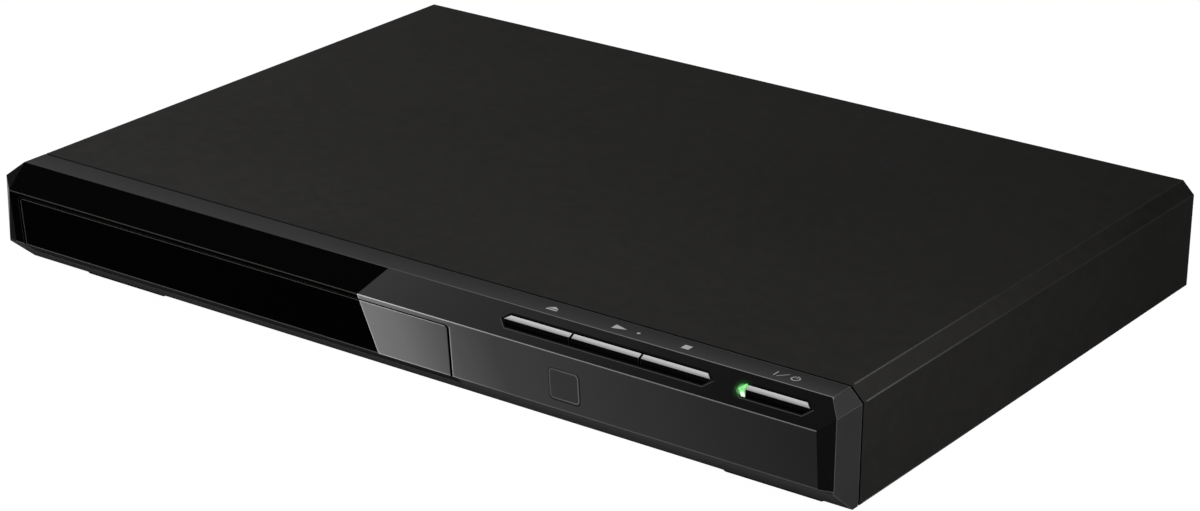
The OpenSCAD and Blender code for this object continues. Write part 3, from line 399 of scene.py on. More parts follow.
def can_steel(name, axis_x, axis_other, upright):
    """Drawn and ground steel can: fine lines round its axis and a bright end with a brass bush. The axis
    stands at x and y if upright, and otherwise lies at x and z, in mm."""
    shaft_radius, bush_radius, crimp_radius = 0.0011, 0.0031, 0.0085
    paint, at, x, y, z = start(name)
    reach = distance(x - axis_x / 1000, (y if upright else z) - axis_other / 1000)
    run = (1.0, 1.0, 0.05) if upright else (1.0, 0.05, 1.0)
    drawn = paint.noise(paint.stretch(at, *run), 1600.0, 3.0)
    stain = paint.noise(at, 90.0, 3.0)
    colour = paint.blend(drawn * 0.6 + stain * 0.4, (0.4, 0.4, 0.41), (0.72, 0.72, 0.71))
    colour = paint.blend(between(reach, shaft_radius, bush_radius), colour, (0.6, 0.42, 0.16))
    seam = (abs(reach - crimp_radius) < 0.00025) * paint.facing()[2 if upright else 1]
    colour = paint.blend(seam, colour, (0.12, 0.12, 0.12))
    return paint.finish(colour, 0.22 + drawn * 0.16, 1.0, height=drawn, depth=0.00001, edge=0.0003)


wear(can_steel("motor_can", LOADING_MOTOR_X, LOADING_MOTOR_Y, upright=True), "loading_motor")

paint, at, *_ = start("belt_rubber")
ground = paint.noise(paint.stretch(at, 1.0, 1.0, 0.1), 2400.0)
polish = paint.noise(at, 60.0)
wear(paint.finish(paint.blend(polish, grey(16), grey(34)), 0.5 + polish * 0.25, specular=0.25,
                  height=ground, depth=0.00003, edge=0.0002), "drive_belt")


def acetal(name, dark, light):
    """Unfilled plastic gears: slightly cloudy, with patches of clear grease."""
    paint, at, *_ = start(name)
    cloud = paint.noise(at, 130.0, 3.0)
    fine = paint.noise(at, 2200.0)
    colour = paint.blend(cloud, dark, light)
    grease = (paint.noise(at, 210.0, 2.0) > 0.66) * 0.35
    colour = paint.blend(grease, colour, tinted(dark, 0.8))
    return paint.finish(colour, 0.3 + cloud * 0.15, specular=0.4, height=fine, depth=0.00001, edge=0.00025,
                        Subsurface_Weight=0.25, Subsurface_Radius=(0.0012, 0.001, 0.0008),
                        Subsurface_Scale=0.6)


natural_acetal = acetal("natural_acetal", (0.66, 0.62, 0.5), (0.8, 0.77, 0.66))
wear(natural_acetal, "motor_pulley", "pulley_gear", "drive_gear", "cam_slider")


def smooth_path(points, steps):
    """Points along a Catmull-Rom curve: a cubic between each pair of points that keeps their tangents."""
    p = np.array(points, float)
    p = np.concatenate([[2 * p[0] - p[1]], p, [2 * p[-1] - p[-2]]])
    t = np.linspace(0, len(points) - 1, steps)
    k = np.minimum(t.astype(int), len(points) - 2)
    f = (t - k)[:, None]
    a, b, c, d = p[k], p[k + 1], p[k + 2], p[k + 3]
    squared, cubed = 2 * a - 5 * b + 4 * c - d, 3 * b - a - 3 * c + d
    return 0.5 * (2 * b + (c - a) * f + squared * f ** 2 + cubed * f ** 3)


def tubes(paths, radius, sides=10):
    """Round wires: at each step of a path a ring stands across its direction, and a point closes each end."""
    paths = np.array(paths, float)
    ahead = np.gradient(paths, axis=1)
    ahead /= np.linalg.norm(ahead, axis=-1, keepdims=True)
    side = np.cross(ahead, (0.6, 0.5, 0.62))
    side /= np.linalg.norm(side, axis=-1, keepdims=True)
    over = np.cross(side, ahead)
    angle = np.linspace(0, 2 * np.pi, sides, endpoint=False)[:, None]
    rings = side[:, :, None] * np.cos(angle) + over[:, :, None] * np.sin(angle)
    whole = paths[:, :, None] + rings * radius
    first, last = (np.repeat(end[:, None, None], sides, axis=2) for end in (paths[:, 0], paths[:, -1]))
    return np.concatenate([first, whole, last], axis=1)


def grained(name, dark, light, scale, rough, swing, run=(1.0, 1.0, 1.0), detail=3.0, **more):
    """A finish whose colour, relief and roughness, from rough to rough + swing, all follow one noise."""
    paint, at, *_ = start(name)
    grain = paint.noise(paint.stretch(at, *run), scale, detail)
    return paint.finish(paint.blend(grain, dark, light), rough + grain * swing, height=grain, **more)


def wire_skin(name, dark, light):
    """Soft vinyl wire: slight waves from the drawing and a satin sheen."""
    return grained(name, dark, light, 700.0, 0.38, 0.12, specular=0.4, depth=0.00002)


red_wire = wire_skin("red_wire", (0.4, 0.012, 0.01), (0.6, 0.03, 0.02))
black_wire = wire_skin("black_wire", grey(18), grey(34))
lead_route = [(-84.2, -78, 5.6), (-88, -76.5, 4.5), (-94, -73, 4.45), (-103, -66.5, 4.45),
              (-111, -50, 4.45), (-112, -20, 4.45), (-112, 30, 4.45), (-109, 60, 4.5),
              (-99, 75, 8), (-93, 76.5, 14), (-91, 72.4, 18)]
red_lead = smooth_path(lead_route, 90)
black_lead = red_lead + (1.0, 1.0, 0.0)
make_piece("motor_leads", "casing", "rubber", (tubes([red_lead], 0.6), red_wire),
           (tubes([black_lead], 0.6), black_wire))


# ---------------------------------------------------------------- disc tray
# The tray is moulded in black plastic: a fine leather grain on its lands, and a smoother recess with the
# faint rings of the tool's turning. Its step takes small discs. The door clips on its front edge.
RECESS_RADIUS, SMALL_RECESS_RADIUS, BELOW_LANDS = 61.0, 40.6, 22.5

paint, at, x, y, z = start("tray_plastic")
reach = from_disc(x, y)
leather = paint.cells(at, 1500.0, "SMOOTH_F1")
spark = paint.noise(at, 2400.0, 2.0)
turning = reach.wave(0.0007)
recess = (reach < RECESS_RADIUS / 1000 + 0.0002) * (z < BELOW_LANDS / 1000)
flow = paint.noise(at, 26.0, 3.0)
tray_colour = paint.blend(flow, grey(34), grey(44))
tray_colour = paint.blend(recess, tray_colour, paint.blend(flow, grey(28), grey(36)))
# Painted highlights: a pale ring at the small discs' step, and paler edges all over.
step_ring_highlight = (abs(reach - SMALL_RECESS_RADIUS / 1000) < 0.0004) * recess
tray_colour = paint.blend(step_ring_highlight * 0.5, tray_colour, grey(66))
tray_colour = paint.blend(paint.rim(0.0003) * 0.45, tray_colour, grey(96))
relief = leather * (1.0 - recess) + (turning * 0.5 + spark * 0.3) * recess
tray_plastic = wear(paint.finish(tray_colour, 0.5 - recess * 0.14 + spark * 0.1, specular=0.25,
                                 height=relief, depth=0.00005, edge=0.0003), "disc_tray")


def finger_dips():
    """The cups beside the recess: an L of floor and wall swept round the disc's centre. Towards angle a the
    wall stands at d cos a + sqrt(r^2 - d^2 sin^2 a), the far side of a circle of radius r at d from the
    centre, or at the tray's side."""
    d, r, tray_side, thickness = 59, 12, 68.95, 0.95
    underside, floor, lip = 21.6, 22.53, 27.45
    a = np.linspace(-0.1972, 0.1972, 41)
    far = d * np.cos(a) + np.sqrt(np.maximum(0.0, r ** 2 - (d * np.sin(a)) ** 2))
    wall = np.maximum(np.minimum(far, tray_side / np.cos(a)) - 0.06, RECESS_RADIUS + 0.06)
    outer = np.minimum(wall + thickness, (tray_side + thickness) / np.cos(a))
    inner = np.full_like(a, RECESS_RADIUS + 0.03)
    reach = np.stack([inner, outer, outer, wall, wall, inner], axis=1)
    height = np.broadcast_to(np.array([underside, underside, lip, lip, floor, floor]), reach.shape)
    grid = np.stack([reach * np.cos(a)[:, None], reach * np.sin(a)[:, None], height], axis=-1)
    first, last = (np.repeat(end.mean(axis=0)[None, None], 6, axis=1) for end in (grid[0], grid[-1]))
    grid = np.concatenate([first, grid, last])
    return np.stack([grid * (side, 1, 1) + (TRAY_X, DISC_Y, 0) for side in (-1, 1)])


make_piece("finger_dips", "tray", "loader_plastic", (finger_dips(), tray_plastic))


# ---------------------------------------------------------------- traverse deck and its motors
# A pressed deck with a dark coat hangs from two pivots behind and a cam pin in front. It carries the
# spindle motor on its own small board, the sled motor and two ground guide rods.
wear(sheet_steel("deck_coat", (0.16, 0.165, 0.18), 0.42, (1.0, 0.05, 1.0), metal=0.9), "traverse_deck")
wear(can_steel("sled_can", TRAY_X + 30, 16.8, upright=False), "sled_motor")

paint, at, *_ = start("ground_rod")
ground = paint.noise(paint.stretch(at, 1.0, 12.0, 1.0), 700.0, 3.0)
oil = paint.noise(at, 160.0, 3.0)
wear(paint.finish(paint.blend(oil, (0.5, 0.5, 0.52), (0.8, 0.8, 0.81)), 0.1 + ground * 0.12, metal=1.0,
                  height=ground, depth=0.000004), "guide_rods")


def board_paint(name, dark, light, printed=(), upright=False, hub=None):
    """Lacquered board: copper tracks under the lacquer, which run one way in each zone, tinned pads on a
    2.54 mm grid with their holes, and pale printed frames round the parts, as (x0, y0, x1, y1) in mm. A
    pad or a stretch of track is drawn where its cell's random number is above a share. hub is the x, y and
    radius of a brass disc."""
    track, pitch, pad_radius, hole_radius = 0.00085, 0.00254, 0.3, 0.12
    paint, at, u, y, z = start(name)
    v = z if upright else y
    if upright:
        at = paint.node("ShaderNodeCombineXYZ", {}, u, v, 0.0)

    def picked(du, dv, share):
        """1 in the cells of du by dv whose random number is above share."""
        cell = paint.node("ShaderNodeVectorMath", {"operation": "SNAP"}, at, (du, dv, 1.0))
        return paint.node("ShaderNodeTexWhiteNoise", {}, Vector=cell) > share

    across = v.band(track, 0.45) * picked(0.012, track, 0.35)
    along = u.band(track, 0.45) * picked(track, 0.011, 0.35)
    zone = picked(0.015, 0.0125, 0.5)
    tracks = across * zone + along * (1.0 - zone)
    pitches = distance((u / pitch) % 1.0 - 0.5, (v / pitch) % 1.0 - 0.5)
    pads = (pitches < pad_radius) * picked(pitch, pitch, 0.84)
    holes = (pitches < hole_radius) * pads
    weave = paint.noise(at, 900.0)
    colour = paint.blend(tracks, paint.blend(weave, dark, tinted(dark, 1.15)), light)
    solder = pads * (1.0 - holes)
    colour = paint.blend(solder, colour, (0.62, 0.62, 0.6))
    # The holes are painted near black: painted shade inside them.
    colour = paint.blend(holes, colour, grey(12))
    for x0, y0, x1, y1 in printed:
        wide, deep = (x1 - x0) / 2000, (y1 - y0) / 2000
        outside = (abs(u - (x0 + x1) / 2000) - wide).most(abs(v - (y0 + y1) / 2000) - deep)
        colour = paint.blend((abs(outside) < 0.00013) * 0.85, colour, grey(215))
    if hub:
        metal_hub = distance(u - hub[0], v - hub[1]) < hub[2]
        colour = paint.blend(metal_hub, colour, (0.62, 0.47, 0.22))
        solder = solder.most(metal_hub)
    else:
        cut_sides = paint.facing()[1 if upright else 2] < 0.5
        colour = paint.blend(cut_sides, colour, (0.42, 0.36, 0.2))
    return paint.finish(colour, 0.32 + weave * 0.1, solder, specular=0.35,
                        height=tracks * 0.3 + pads * 0.5, depth=0.00003)


GREEN, COPPER_GREEN = (0.012, 0.085, 0.03), (0.03, 0.17, 0.055)
brass_hub = (TRAY_X / 1000, DISC_Y / 1000, 0.0052)
wear(board_paint("spindle_board", GREEN, COPPER_GREEN, hub=brass_hub), "spindle_motor")


# ---------------------------------------------------------------- turntable
# A dark moulded disc on the motor's shaft, with a soft ring on its rim that grips the disc, a centring
# cone and a steel plate in the cone that the clamp's magnet pulls on.
RING_FROM, RING_ABOVE, GROOVE_RADIUS, PLATE_RADIUS, PLATE_ABOVE = 0.0082, 0.0222, 0.0116, 0.0046, 0.024

paint, at, x, y, z = start("turntable_faces")
reach = from_disc(x, y)
fine = paint.noise(at, 2600.0)
dust = paint.noise(at, 300.0, 3.0)
level_face = paint.facing()[2] > 0.9
ring = (reach > RING_FROM) * (z > RING_ABOVE)
plate = (reach < PLATE_RADIUS) * (z > PLATE_ABOVE) * level_face
groove = (abs(reach - GROOVE_RADIUS) < 0.0002) * ring
colour = paint.blend(dust, grey(44), grey(56))
colour = paint.blend(ring, colour, paint.blend(dust, grey(20), grey(34)))
# The cut ring in the rubber is painted near black: painted shade in it.
colour = paint.blend(groove, colour, grey(12))
colour = paint.blend(plate, colour, (0.6, 0.6, 0.6))
rough = 0.4 + ring * 0.35 + fine * 0.08 - plate * 0.15
wear(paint.finish(colour, rough, plate, specular=0.25, height=fine * 0.4 + groove * -1.0, depth=0.00004,
                  edge=0.0003), "turntable")


# ---------------------------------------------------------------- lead screw, pickup and lens
# The pickup's die-cast body slides on the rods and is moved by a coarse plastic worm, cut here as one
# helical thread. Copper coils at both sides of the coated lens focus it.
WORM_X, WORM_Z = TRAY_X + 34, 13.5


def worm(y0, y1, thread0, thread1, pitch, core, top):
    """Radius of the worm by place y and angle a: the core, plus a trapezium of height top - core where the
    fraction of y / pitch - a / turn lies near one half. It fades out over 0.8 mm at both thread ends."""
    y = np.linspace(y0, y1, 420)[:, None]
    angle = np.linspace(0, 2 * np.pi, 28, endpoint=False)[None, :]
    phase = (y / pitch - angle / (2 * np.pi)) % 1.0
    tooth = np.clip((0.3 - np.abs(phase - 0.5)) / 0.12, 0, 1)
    ends = np.clip(np.minimum(y - thread0, thread1 - y) / 0.8, 0, 1)
    radius = core + (top - core) * tooth * ends
    radius[[0, -1]] = 0.0
    y = np.concatenate([y[:1], y[:1], y[1:-1], y[-1:], y[-1:]])
    bare = np.full_like(radius[:1], core)
    radius = np.concatenate([radius[:1], bare, radius[1:-1], bare, radius[-1:]])
    x, z = WORM_X + radius * np.cos(angle), WORM_Z + radius * np.sin(angle)
    return np.stack([x, y + 0 * x, z], axis=-1)[None]


thread = worm(DISC_Y + 12.7, 43.7, thread0=-28.0, thread1=31.2, pitch=3.2, core=1.0, top=1.5)
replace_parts(make_piece("helical_worm", "screw", "natural_plastic", (thread, natural_acetal)), "lead_screw")

LENS_Y, LENS_RADIUS, CAP_HALF, CAP_ABOVE = DISC_Y + 24, 0.0021, 0.01305, 0.0176
paint, at, x, y, z = start("pickup_casting")
cast = paint.noise(at, 1300.0, 3.0)
cloud = paint.noise(at, 80.0, 3.0)
cap = (abs(x - TRAY_X / 1000) < CAP_HALF) * (z > CAP_ABOVE)
metal_colour = paint.blend(cloud, (0.36, 0.37, 0.38), (0.56, 0.57, 0.58))
# Painted highlight: paler metal along the edges.
metal_colour = paint.blend(paint.rim(0.0003) * 0.5, metal_colour, (0.75, 0.75, 0.75))
colour = paint.blend(cap, metal_colour, paint.blend(cast, grey(26), grey(38)))
wear(paint.finish(colour, 0.42 + cast * 0.16, 1.0 - cap, specular=0.3, height=cast, depth=0.00004,
                  edge=0.0003), "pickup_body")

paint, at, x, y, z = start("lens_and_holder")
reach = from_disc(x, y, LENS_Y)
clear = reach < LENS_RADIUS
fine = paint.noise(at, 2000.0)
# The coating's blue and violet colours are painted on the lens by radius: a painted reflection.
sheen = paint.ramp((reach / LENS_RADIUS).clamped(),
                   (0.0, (0.09, 0.12, 0.4)), (0.6, (0.2, 0.12, 0.5)), (1.0, (0.05, 0.25, 0.4)))
colour = paint.blend(clear, paint.blend(fine, grey(24), grey(36)), sheen)
wear(paint.finish(colour, 0.4 - clear * 0.36, height=fine * (1.0 - clear), depth=0.00002, Coat_Weight=clear,
                  Coat_Roughness=0.03), "pickup_lens")


def wire_rounds(passed):
    """A half circle for each turn of wire: sqrt(1 - (2 f - 1)^2), where f is the fraction of turns passed."""
    return np.sqrt(np.maximum(0.0, 1 - (2 * (passed % 1.0) - 1) ** 2))


def racetrack(place, half_x, half_y, low, high, wall, turns):
    """A flat coil round a rounded bar, whose outline is cos and sin raised to 0.45 with their signs kept.
    Its outer wall bulges by 0.12 mm for each layer of wire."""
    t = np.linspace(0, 2 * np.pi, 48, endpoint=False)
    unit = np.stack([np.cos(t), np.sin(t)])
    out_x, out_y = np.sign(unit) * np.abs(unit) ** 0.45 * np.array([[half_x], [half_y]])
    s = np.linspace(0, 1, 8 * turns + 1)
    bulges = zip(wire_rounds(s * turns) * 0.12, low + (high - low) * s)
    grow, z = np.array([(-wall, low), *bulges, (-wall, high), (-wall, low)]).T[:, :, None]
    x, y = place[0] + out_x + unit[0] * grow, place[1] + out_y + unit[1] * grow
    return np.stack([x, y, z + 0 * x], axis=-1)[None]


coil_copper = grained("coil_copper", (0.55, 0.2, 0.08), (0.85, 0.42, 0.2), 900.0, 0.25, 0.1,
                      run=(1.0, 1.0, 6.0), detail=2.0, metal=1.0, depth=0.00001, Coat_Weight=0.6)
coils = [racetrack((TRAY_X + side * 7.2, LENS_Y), 2.0, 3.4, low=19.35, high=20.0, wall=0.9, turns=3)
         for side in (-1, 1)]
make_piece("focus_coils", "sled", "nickel", *((coil, coil_copper) for coil in coils))


# ---------------------------------------------------------------- clamp bridge and puck
# A pressed strip of plated steel spans the frame over the disc. The puck hangs loose in its hole: pale
# plastic round a steel plate over its magnet.
wear(sheet_steel("bridge_zinc", (0.6, 0.61, 0.6), 0.34, (0.04, 1.0, 1.0)), "clamp_bridge")

PUCK_PLATE_RADIUS, PUCK_PLATE_ABOVE = 0.0078, 0.032

paint, at, x, y, z = start("puck_faces")
reach = from_disc(x, y)
cloud = paint.noise(at, 90.0, 3.0)
fine = paint.noise(at, 2400.0)
on_top = z > PUCK_PLATE_ABOVE
plate = (reach < PUCK_PLATE_RADIUS) * on_top
groove = (abs(reach - PUCK_PLATE_RADIUS - 0.0001) < 0.00022) * on_top
colour = paint.blend(plate, paint.blend(cloud, (0.62, 0.62, 0.6), (0.74, 0.74, 0.72)), (0.55, 0.55, 0.55))
# The ring round the plate is painted dark: painted shade in the gap.
colour = paint.blend(groove, colour, grey(60))
wear(paint.finish(colour, 0.42 - plate * 0.14 + fine * 0.08, plate, specular=0.35, height=fine, depth=0.00002,
                  edge=0.0003), "clamp_puck")


# ---------------------------------------------------------------- circuit boards
# Green glass-fibre boards carry the decoder, the loader's connector and the keys; the supply is on a
# tan paper board. All have printed frames round their main parts.
BOARD_TOP = 11.6
MAIN_FRAMES = [(46.4, 50.4, 69.6, 73.6), (72.4, 55, 85.6, 69), (27, 54.4, 41, 65.6), (55, 42.6, 67.4, 49.2),
               (87.6, 43.2, 95, 62.8), (23.6, 78, 32.4, 82.8)]
SUPPLY_FRAMES = [(101, 43, 107.6, 63), (110.8, 29, 141.2, 55), (130, 61.6, 139.6, 78.4), (126, 83, 142, 90.6),
                 (102, 20, 110.8, 40)]
LOADER_FRAMES = [(-58, 16, -31, 23), (-94, 16, -84, 21)]
wear(board_paint("main_lacquer", GREEN, COPPER_GREEN, MAIN_FRAMES), "main_board")
wear(board_paint("front_lacquer", GREEN, COPPER_GREEN), "front_board")
wear(board_paint("loader_lacquer", GREEN, COPPER_GREEN, LOADER_FRAMES, upright=True), "loader_board")
wear(board_paint("supply_paper", (0.36, 0.21, 0.085), (0.45, 0.29, 0.13), SUPPLY_FRAMES), "power_board")

epoxy = moulded("chip_epoxy", grey(24), grey(36), 0.55, grain=2600.0, depth=0.00002)


MARKED_CORNERS = ((0.050, 0.070), (0.0755, 0.0665), (0.0295, 0.0625))


def pin_one(paint, x, y, z, colour):
    """A round dimple near one corner of each package, and no lettering."""
    for corner_x, corner_y in MARKED_CORNERS:
        dot = distance(x - corner_x, y - corner_y) < 0.0007
        colour = paint.blend(dot * 0.6, colour, grey(70))
    return colour


wear(moulded("package_epoxy", grey(24), grey(34), 0.55, grain=2600.0, depth=0.00002, ink=pin_one),
     "decoder_chip")
wear(epoxy, "ir_receiver")


def bent_pins(starts, outward, width, lift):
    """Gull-wing pins: from each start a flat bar of width goes outward, down from lift and outward again."""
    path = np.array([(-0.2, lift), (-0.2, lift), (0.3, lift), (0.55, 0.12), (1.15, 0.07), (1.15, 0.07)])
    out = np.array(outward, float)
    beside = np.array((-out[1], out[0], 0.0))
    corner = np.array([(-1, -1), (1, -1), (1, 1), (-1, 1)], float) * (width / 2, 0.07)
    middle = path[:, :1, None] * np.array((*out, 0.0)) + path[:, 1:, None] * np.array((0, 0, 1.0))
    ring = corner[None, :, :1] * beside + corner[None, :, 1:] * np.array((0, 0, 1.0))
    ring = ring * np.array([0, 1, 1, 1, 1, 0.0])[:, None, None]
    return np.array(starts, float)[:, None, None] + middle + ring


# Rows of pins: their axis, the two edges of the package they leave, their run along it and their number,
# the width of a pin and the height it leaves at.
PIN_ROWS = [("x", (48, 68), (53.6, 70.4), 22, 0.32, 0.8), ("y", (52, 72), (49.6, 66.4), 22, 0.32, 0.8),
            ("x", (74, 84), (57, 67), 9, 0.45, 0.6), ("y", (56, 64), (29, 39), 9, 0.45, 0.6)]
pins = []
for axis, edges, run, count, width, lift in PIN_ROWS:
    for side, edge in zip((-1, 1), edges):
        places = np.linspace(*run, count)
        if axis == "x":
            pins.append(bent_pins([(edge, v, BOARD_TOP) for v in places], (side, 0), width, lift))
        else:
            pins.append(bent_pins([(v, edge, BOARD_TOP) for v in places], (0, side), width, lift))

tinned_leads = grained("tinned_leads", (0.45, 0.45, 0.44), (0.74, 0.74, 0.72), 500.0, 0.22, 0.2, metal=1.0,
                       depth=0.00001)
make_piece("chip_pins", "casing", "nickel", (np.concatenate(pins), tinned_leads))


def blocks(low, high, edge):
    """Blocks between low and high corners, every edge cut back by edge: eight-point rings at four heights,
    and a point in the middle of the bottom and of the top. side has the signs of x and y at each point of a
    ring, and which of the two is cut back; then come each ring's size, inset, share of height and rise."""
    low, high = np.atleast_2d(np.array(low, float)), np.atleast_2d(np.array(high, float))
    half, middle = (high - low)[:, :, None, None] / 2, (high + low)[:, :, None, None] / 2
    side = np.array([(1, -1, 0, 1), (1, 1, 0, 1), (1, 1, 1, 0), (-1, 1, 1, 0),
                     (-1, 1, 0, 1), (-1, -1, 0, 1), (-1, -1, 1, 0), (1, -1, 1, 0)]).T[:, None, None]
    size, inset, top, rise = np.array([(0, 0, 0, 0), (1, 1, 0, 0), (1, 0, 0, 1),
                                       (1, 0, 1, -1), (1, 1, 1, 0), (0, 0, 1, 0)]).T[:, None, :, None]
    x = middle[:, 0] + size * side[0] * (half[:, 0] - edge * (side[2] + inset))
    y = middle[:, 1] + size * side[1] * (half[:, 1] - edge * (side[3] + inset))
    z = low[:, 2, None, None] + top * 2 * half[:, 2] + rise * edge + 0 * x
    return np.stack([x, y, z], axis=-1)


# Small ceramic parts in loose rows between the chips, clear of every larger part.
chance = np.random.default_rng(7)
spot_x, spot_y = (grid.ravel() for grid in np.meshgrid(np.arange(20, 95, 3.1), np.arange(24, 91, 2.6)))
FILLED_SHARE = 0.34
LARGE_PARTS = [(45, 49, 71, 75), (71, 54, 87, 70), (25.5, 53, 42.5, 67), (26, 36, 34, 44), (40, 32, 48, 40),
               (78, 36, 86, 44), (54, 42, 69, 50), (86, 42, 96, 64), (22, 76.5, 34, 84), (17, 20, 26, 30),
               (86, 21, 96, 31), (17, 83, 27, 93), (69, 19, 88, 26)]
free = chance.random(spot_x.size) < FILLED_SHARE
for x0, y0, x1, y1 in LARGE_PARTS:
    free &= ~((spot_x > x0 - 1) & (spot_x < x1 + 1) & (spot_y > y0 - 1) & (spot_y < y1 + 1))
spots = np.stack([spot_x[free], spot_y[free], np.full(free.sum(), BOARD_TOP)], axis=-1)
even = np.arange(len(spots)) % 2 == 0
ceramic = moulded("ceramic_tan", (0.22, 0.14, 0.07), (0.34, 0.23, 0.13), 0.4, 0.4)
film = moulded("resistor_film", grey(22), grey(34), 0.3, 0.4)


def parts_at(some, half_x, half_y, height):
    """Small blocks that stand on some of the spots."""
    return blocks(some - (half_x, half_y, 0), some + (half_x, half_y, height), 0.08)


end_caps = [parts_at(spots + (side * 0.72, 0, 0), 0.17, 0.44, 0.56) for side in (-1, 1)]
make_piece("small_parts", "casing", "chip_black", (parts_at(spots[even], 0.62, 0.4, 0.52), ceramic),
           (parts_at(spots[~even], 0.62, 0.4, 0.44), film), (np.concatenate(end_caps), tinned_leads))

# The crystal's drawn can, the white connectors with their slots, and the flat cables' sockets.
crystal_can = sheet_steel("crystal_can", (0.66, 0.66, 0.65), 0.26, (0.1, 1.0, 1.0))


WAYS, FIRST_WAY_Y, WAY_PITCH = 6, 0.0445, 0.003


def connector_slots(paint, x, y, z, colour):
    """Slots on top of a connector, painted dark as the shade inside them: short stripes along it, one
    for each way.
    """
    slot = (y - FIRST_WAY_Y).band(WAY_PITCH, 0.42) * x.band(0.0055, 0.36) * (paint.facing()[2] > 0.9)
    return paint.blend(slot, colour, grey(40))


white_nylon = moulded("white_nylon", (0.66, 0.65, 0.6), (0.76, 0.75, 0.7), 0.4, 0.4, edge_glint=0.1,
                      ink=connector_slots)
dark_socket = moulded("dark_socket", grey(28), grey(40), 0.45, 0.3)
crystal = blocks((56, 43.6, BOARD_TOP), (66.4, 48.2, 15.2), 0.7)
white_pair = blocks([(88.6, 44, BOARD_TOP), (101.6, 44, BOARD_TOP)],
                    [(94.1, 62, 17.4), (107.1, 62, 17.4)], 0.35)
dark_pair = blocks([(24.4, 78.6, BOARD_TOP), (70.4, 20.3, BOARD_TOP)],
                   [(31.6, 82.2, 15.4), (85.6, 23.7, 15.4)], 0.3)
make_piece("board_sockets", "casing", "chip_black", (crystal, crystal_can), (white_pair, white_nylon),
           (dark_pair, dark_socket))

# Six vinyl wires bring the supply from one white connector to the other.
paint, at, x, y, z = start("supply_wires")
order = (y - FIRST_WAY_Y) / (WAYS * WAY_PITCH)
red, orange, yellow = (0.5, 0.02, 0.015), (0.7, 0.2, 0.01), (0.7, 0.55, 0.03)
wire_colour = paint.ramp(order, (0.0, red), (0.16, red), (0.17, orange), (0.33, orange), (0.34, yellow),
                         (0.5, yellow), (0.51, grey(24)), (0.83, grey(30)), (0.84, (0.55, 0.55, 0.53)),
                         (1.0, (0.6, 0.6, 0.58)))
drawn = paint.noise(at, 700.0, 3.0)
vinyl = paint.finish(wire_colour, 0.36 + drawn * 0.12, specular=0.4, height=drawn, depth=0.00002)


def supply_wire(k):
    """Wire k goes up from its own slot, over in an arch, closer to its neighbours, and down again."""
    y, odd = 46 + 3 * k, k % 2
    return smooth_path([(91.3, y, 16.8), (91.5, y, 20), (94.5, 46.2 + 2.9 * k, 23 + 0.4 * odd),
                        (98, 46.4 + 2.8 * k, 23.6), (101.5, 46.2 + 2.9 * k, 23 - 0.3 * odd), (104.2, y, 20),
                        (104.35, y, 16.8)], 44)


make_piece("supply_harness", "casing", "rubber", (tubes([supply_wire(k) for k in range(WAYS)], 0.65), vinyl))


# ---------------------------------------------------------------- supply parts
# The transformer has a ferrite core round a taped winding on a dark bobbin. Capacitors are aluminium cans
# in shrunk sleeves with a pale stripe, a rolled bead and a scored top. The fuse is a wire in a glass tube.
TRANSFORMER_X, WINDING_HALF, WINDING_FROM, WINDING_TO, TAPE_WIDTH = 0.126, 0.01105, 0.003, 0.017, 0.0036

paint, at, x, y, z = start("transformer_parts")
height = z - BOARD_TOP / 1000
bobbin = (height < WINDING_FROM).most(height > WINDING_TO)
core = (abs(x - TRANSFORMER_X) > WINDING_HALF) * (1.0 - bobbin)
tape_edge = height.band(TAPE_WIDTH, 0.08)
grain = paint.noise(at, 700.0, 3.0)
tape = paint.blend(grain, (0.62, 0.44, 0.05), (0.78, 0.6, 0.12))
tape = paint.blend(tape_edge * 0.5, tape, (0.35, 0.24, 0.03))
colour = paint.blend(core, tape, paint.blend(grain, grey(52), grey(74)))
colour = paint.blend(bobbin, colour, paint.blend(grain, grey(22), grey(34)))
wear(paint.finish(colour, 0.34 + core * 0.22 + grain * 0.1, specular=0.35, height=grain + tape_edge,
                  depth=0.00004, edge=0.0003), "transformer")

paint, at, x, y, z = start("sleeve_film")
around = paint.node("ShaderNodeAttribute", {"attribute_name": "turn"}, output="Fac")
shrunk = paint.noise(at, 500.0, 3.0)
stripe = (around > 0.93) * (z > 0.0135)
dashes = z.band(0.0032, 0.5) * (around > 0.985)
colour = paint.blend(shrunk, (0.008, 0.012, 0.05), (0.018, 0.025, 0.08))
colour = paint.blend(stripe, colour, (0.45, 0.47, 0.5))
colour = paint.blend(stripe * dashes, colour, (0.03, 0.04, 0.1))
sleeve_film = paint.finish(colour, 0.22 + shrunk * 0.1, specular=0.45, height=shrunk, depth=0.00002)
can_top = screw_paint("can_top", (0.62, 0.63, 0.64), 0.3, spin=900.0)


def turned(profile, places, sides=40):
    """A profile of (radius, height) turned round Z, then copied to each place."""
    radius, height = np.array(profile, float).T[:, :, None]
    angle = np.linspace(0, 2 * np.pi, sides, endpoint=False)
    ring = np.stack([radius * np.cos(angle), radius * np.sin(angle), height + 0 * angle], axis=-1)
    return np.array(places, float)[:, None, None, :] + ring


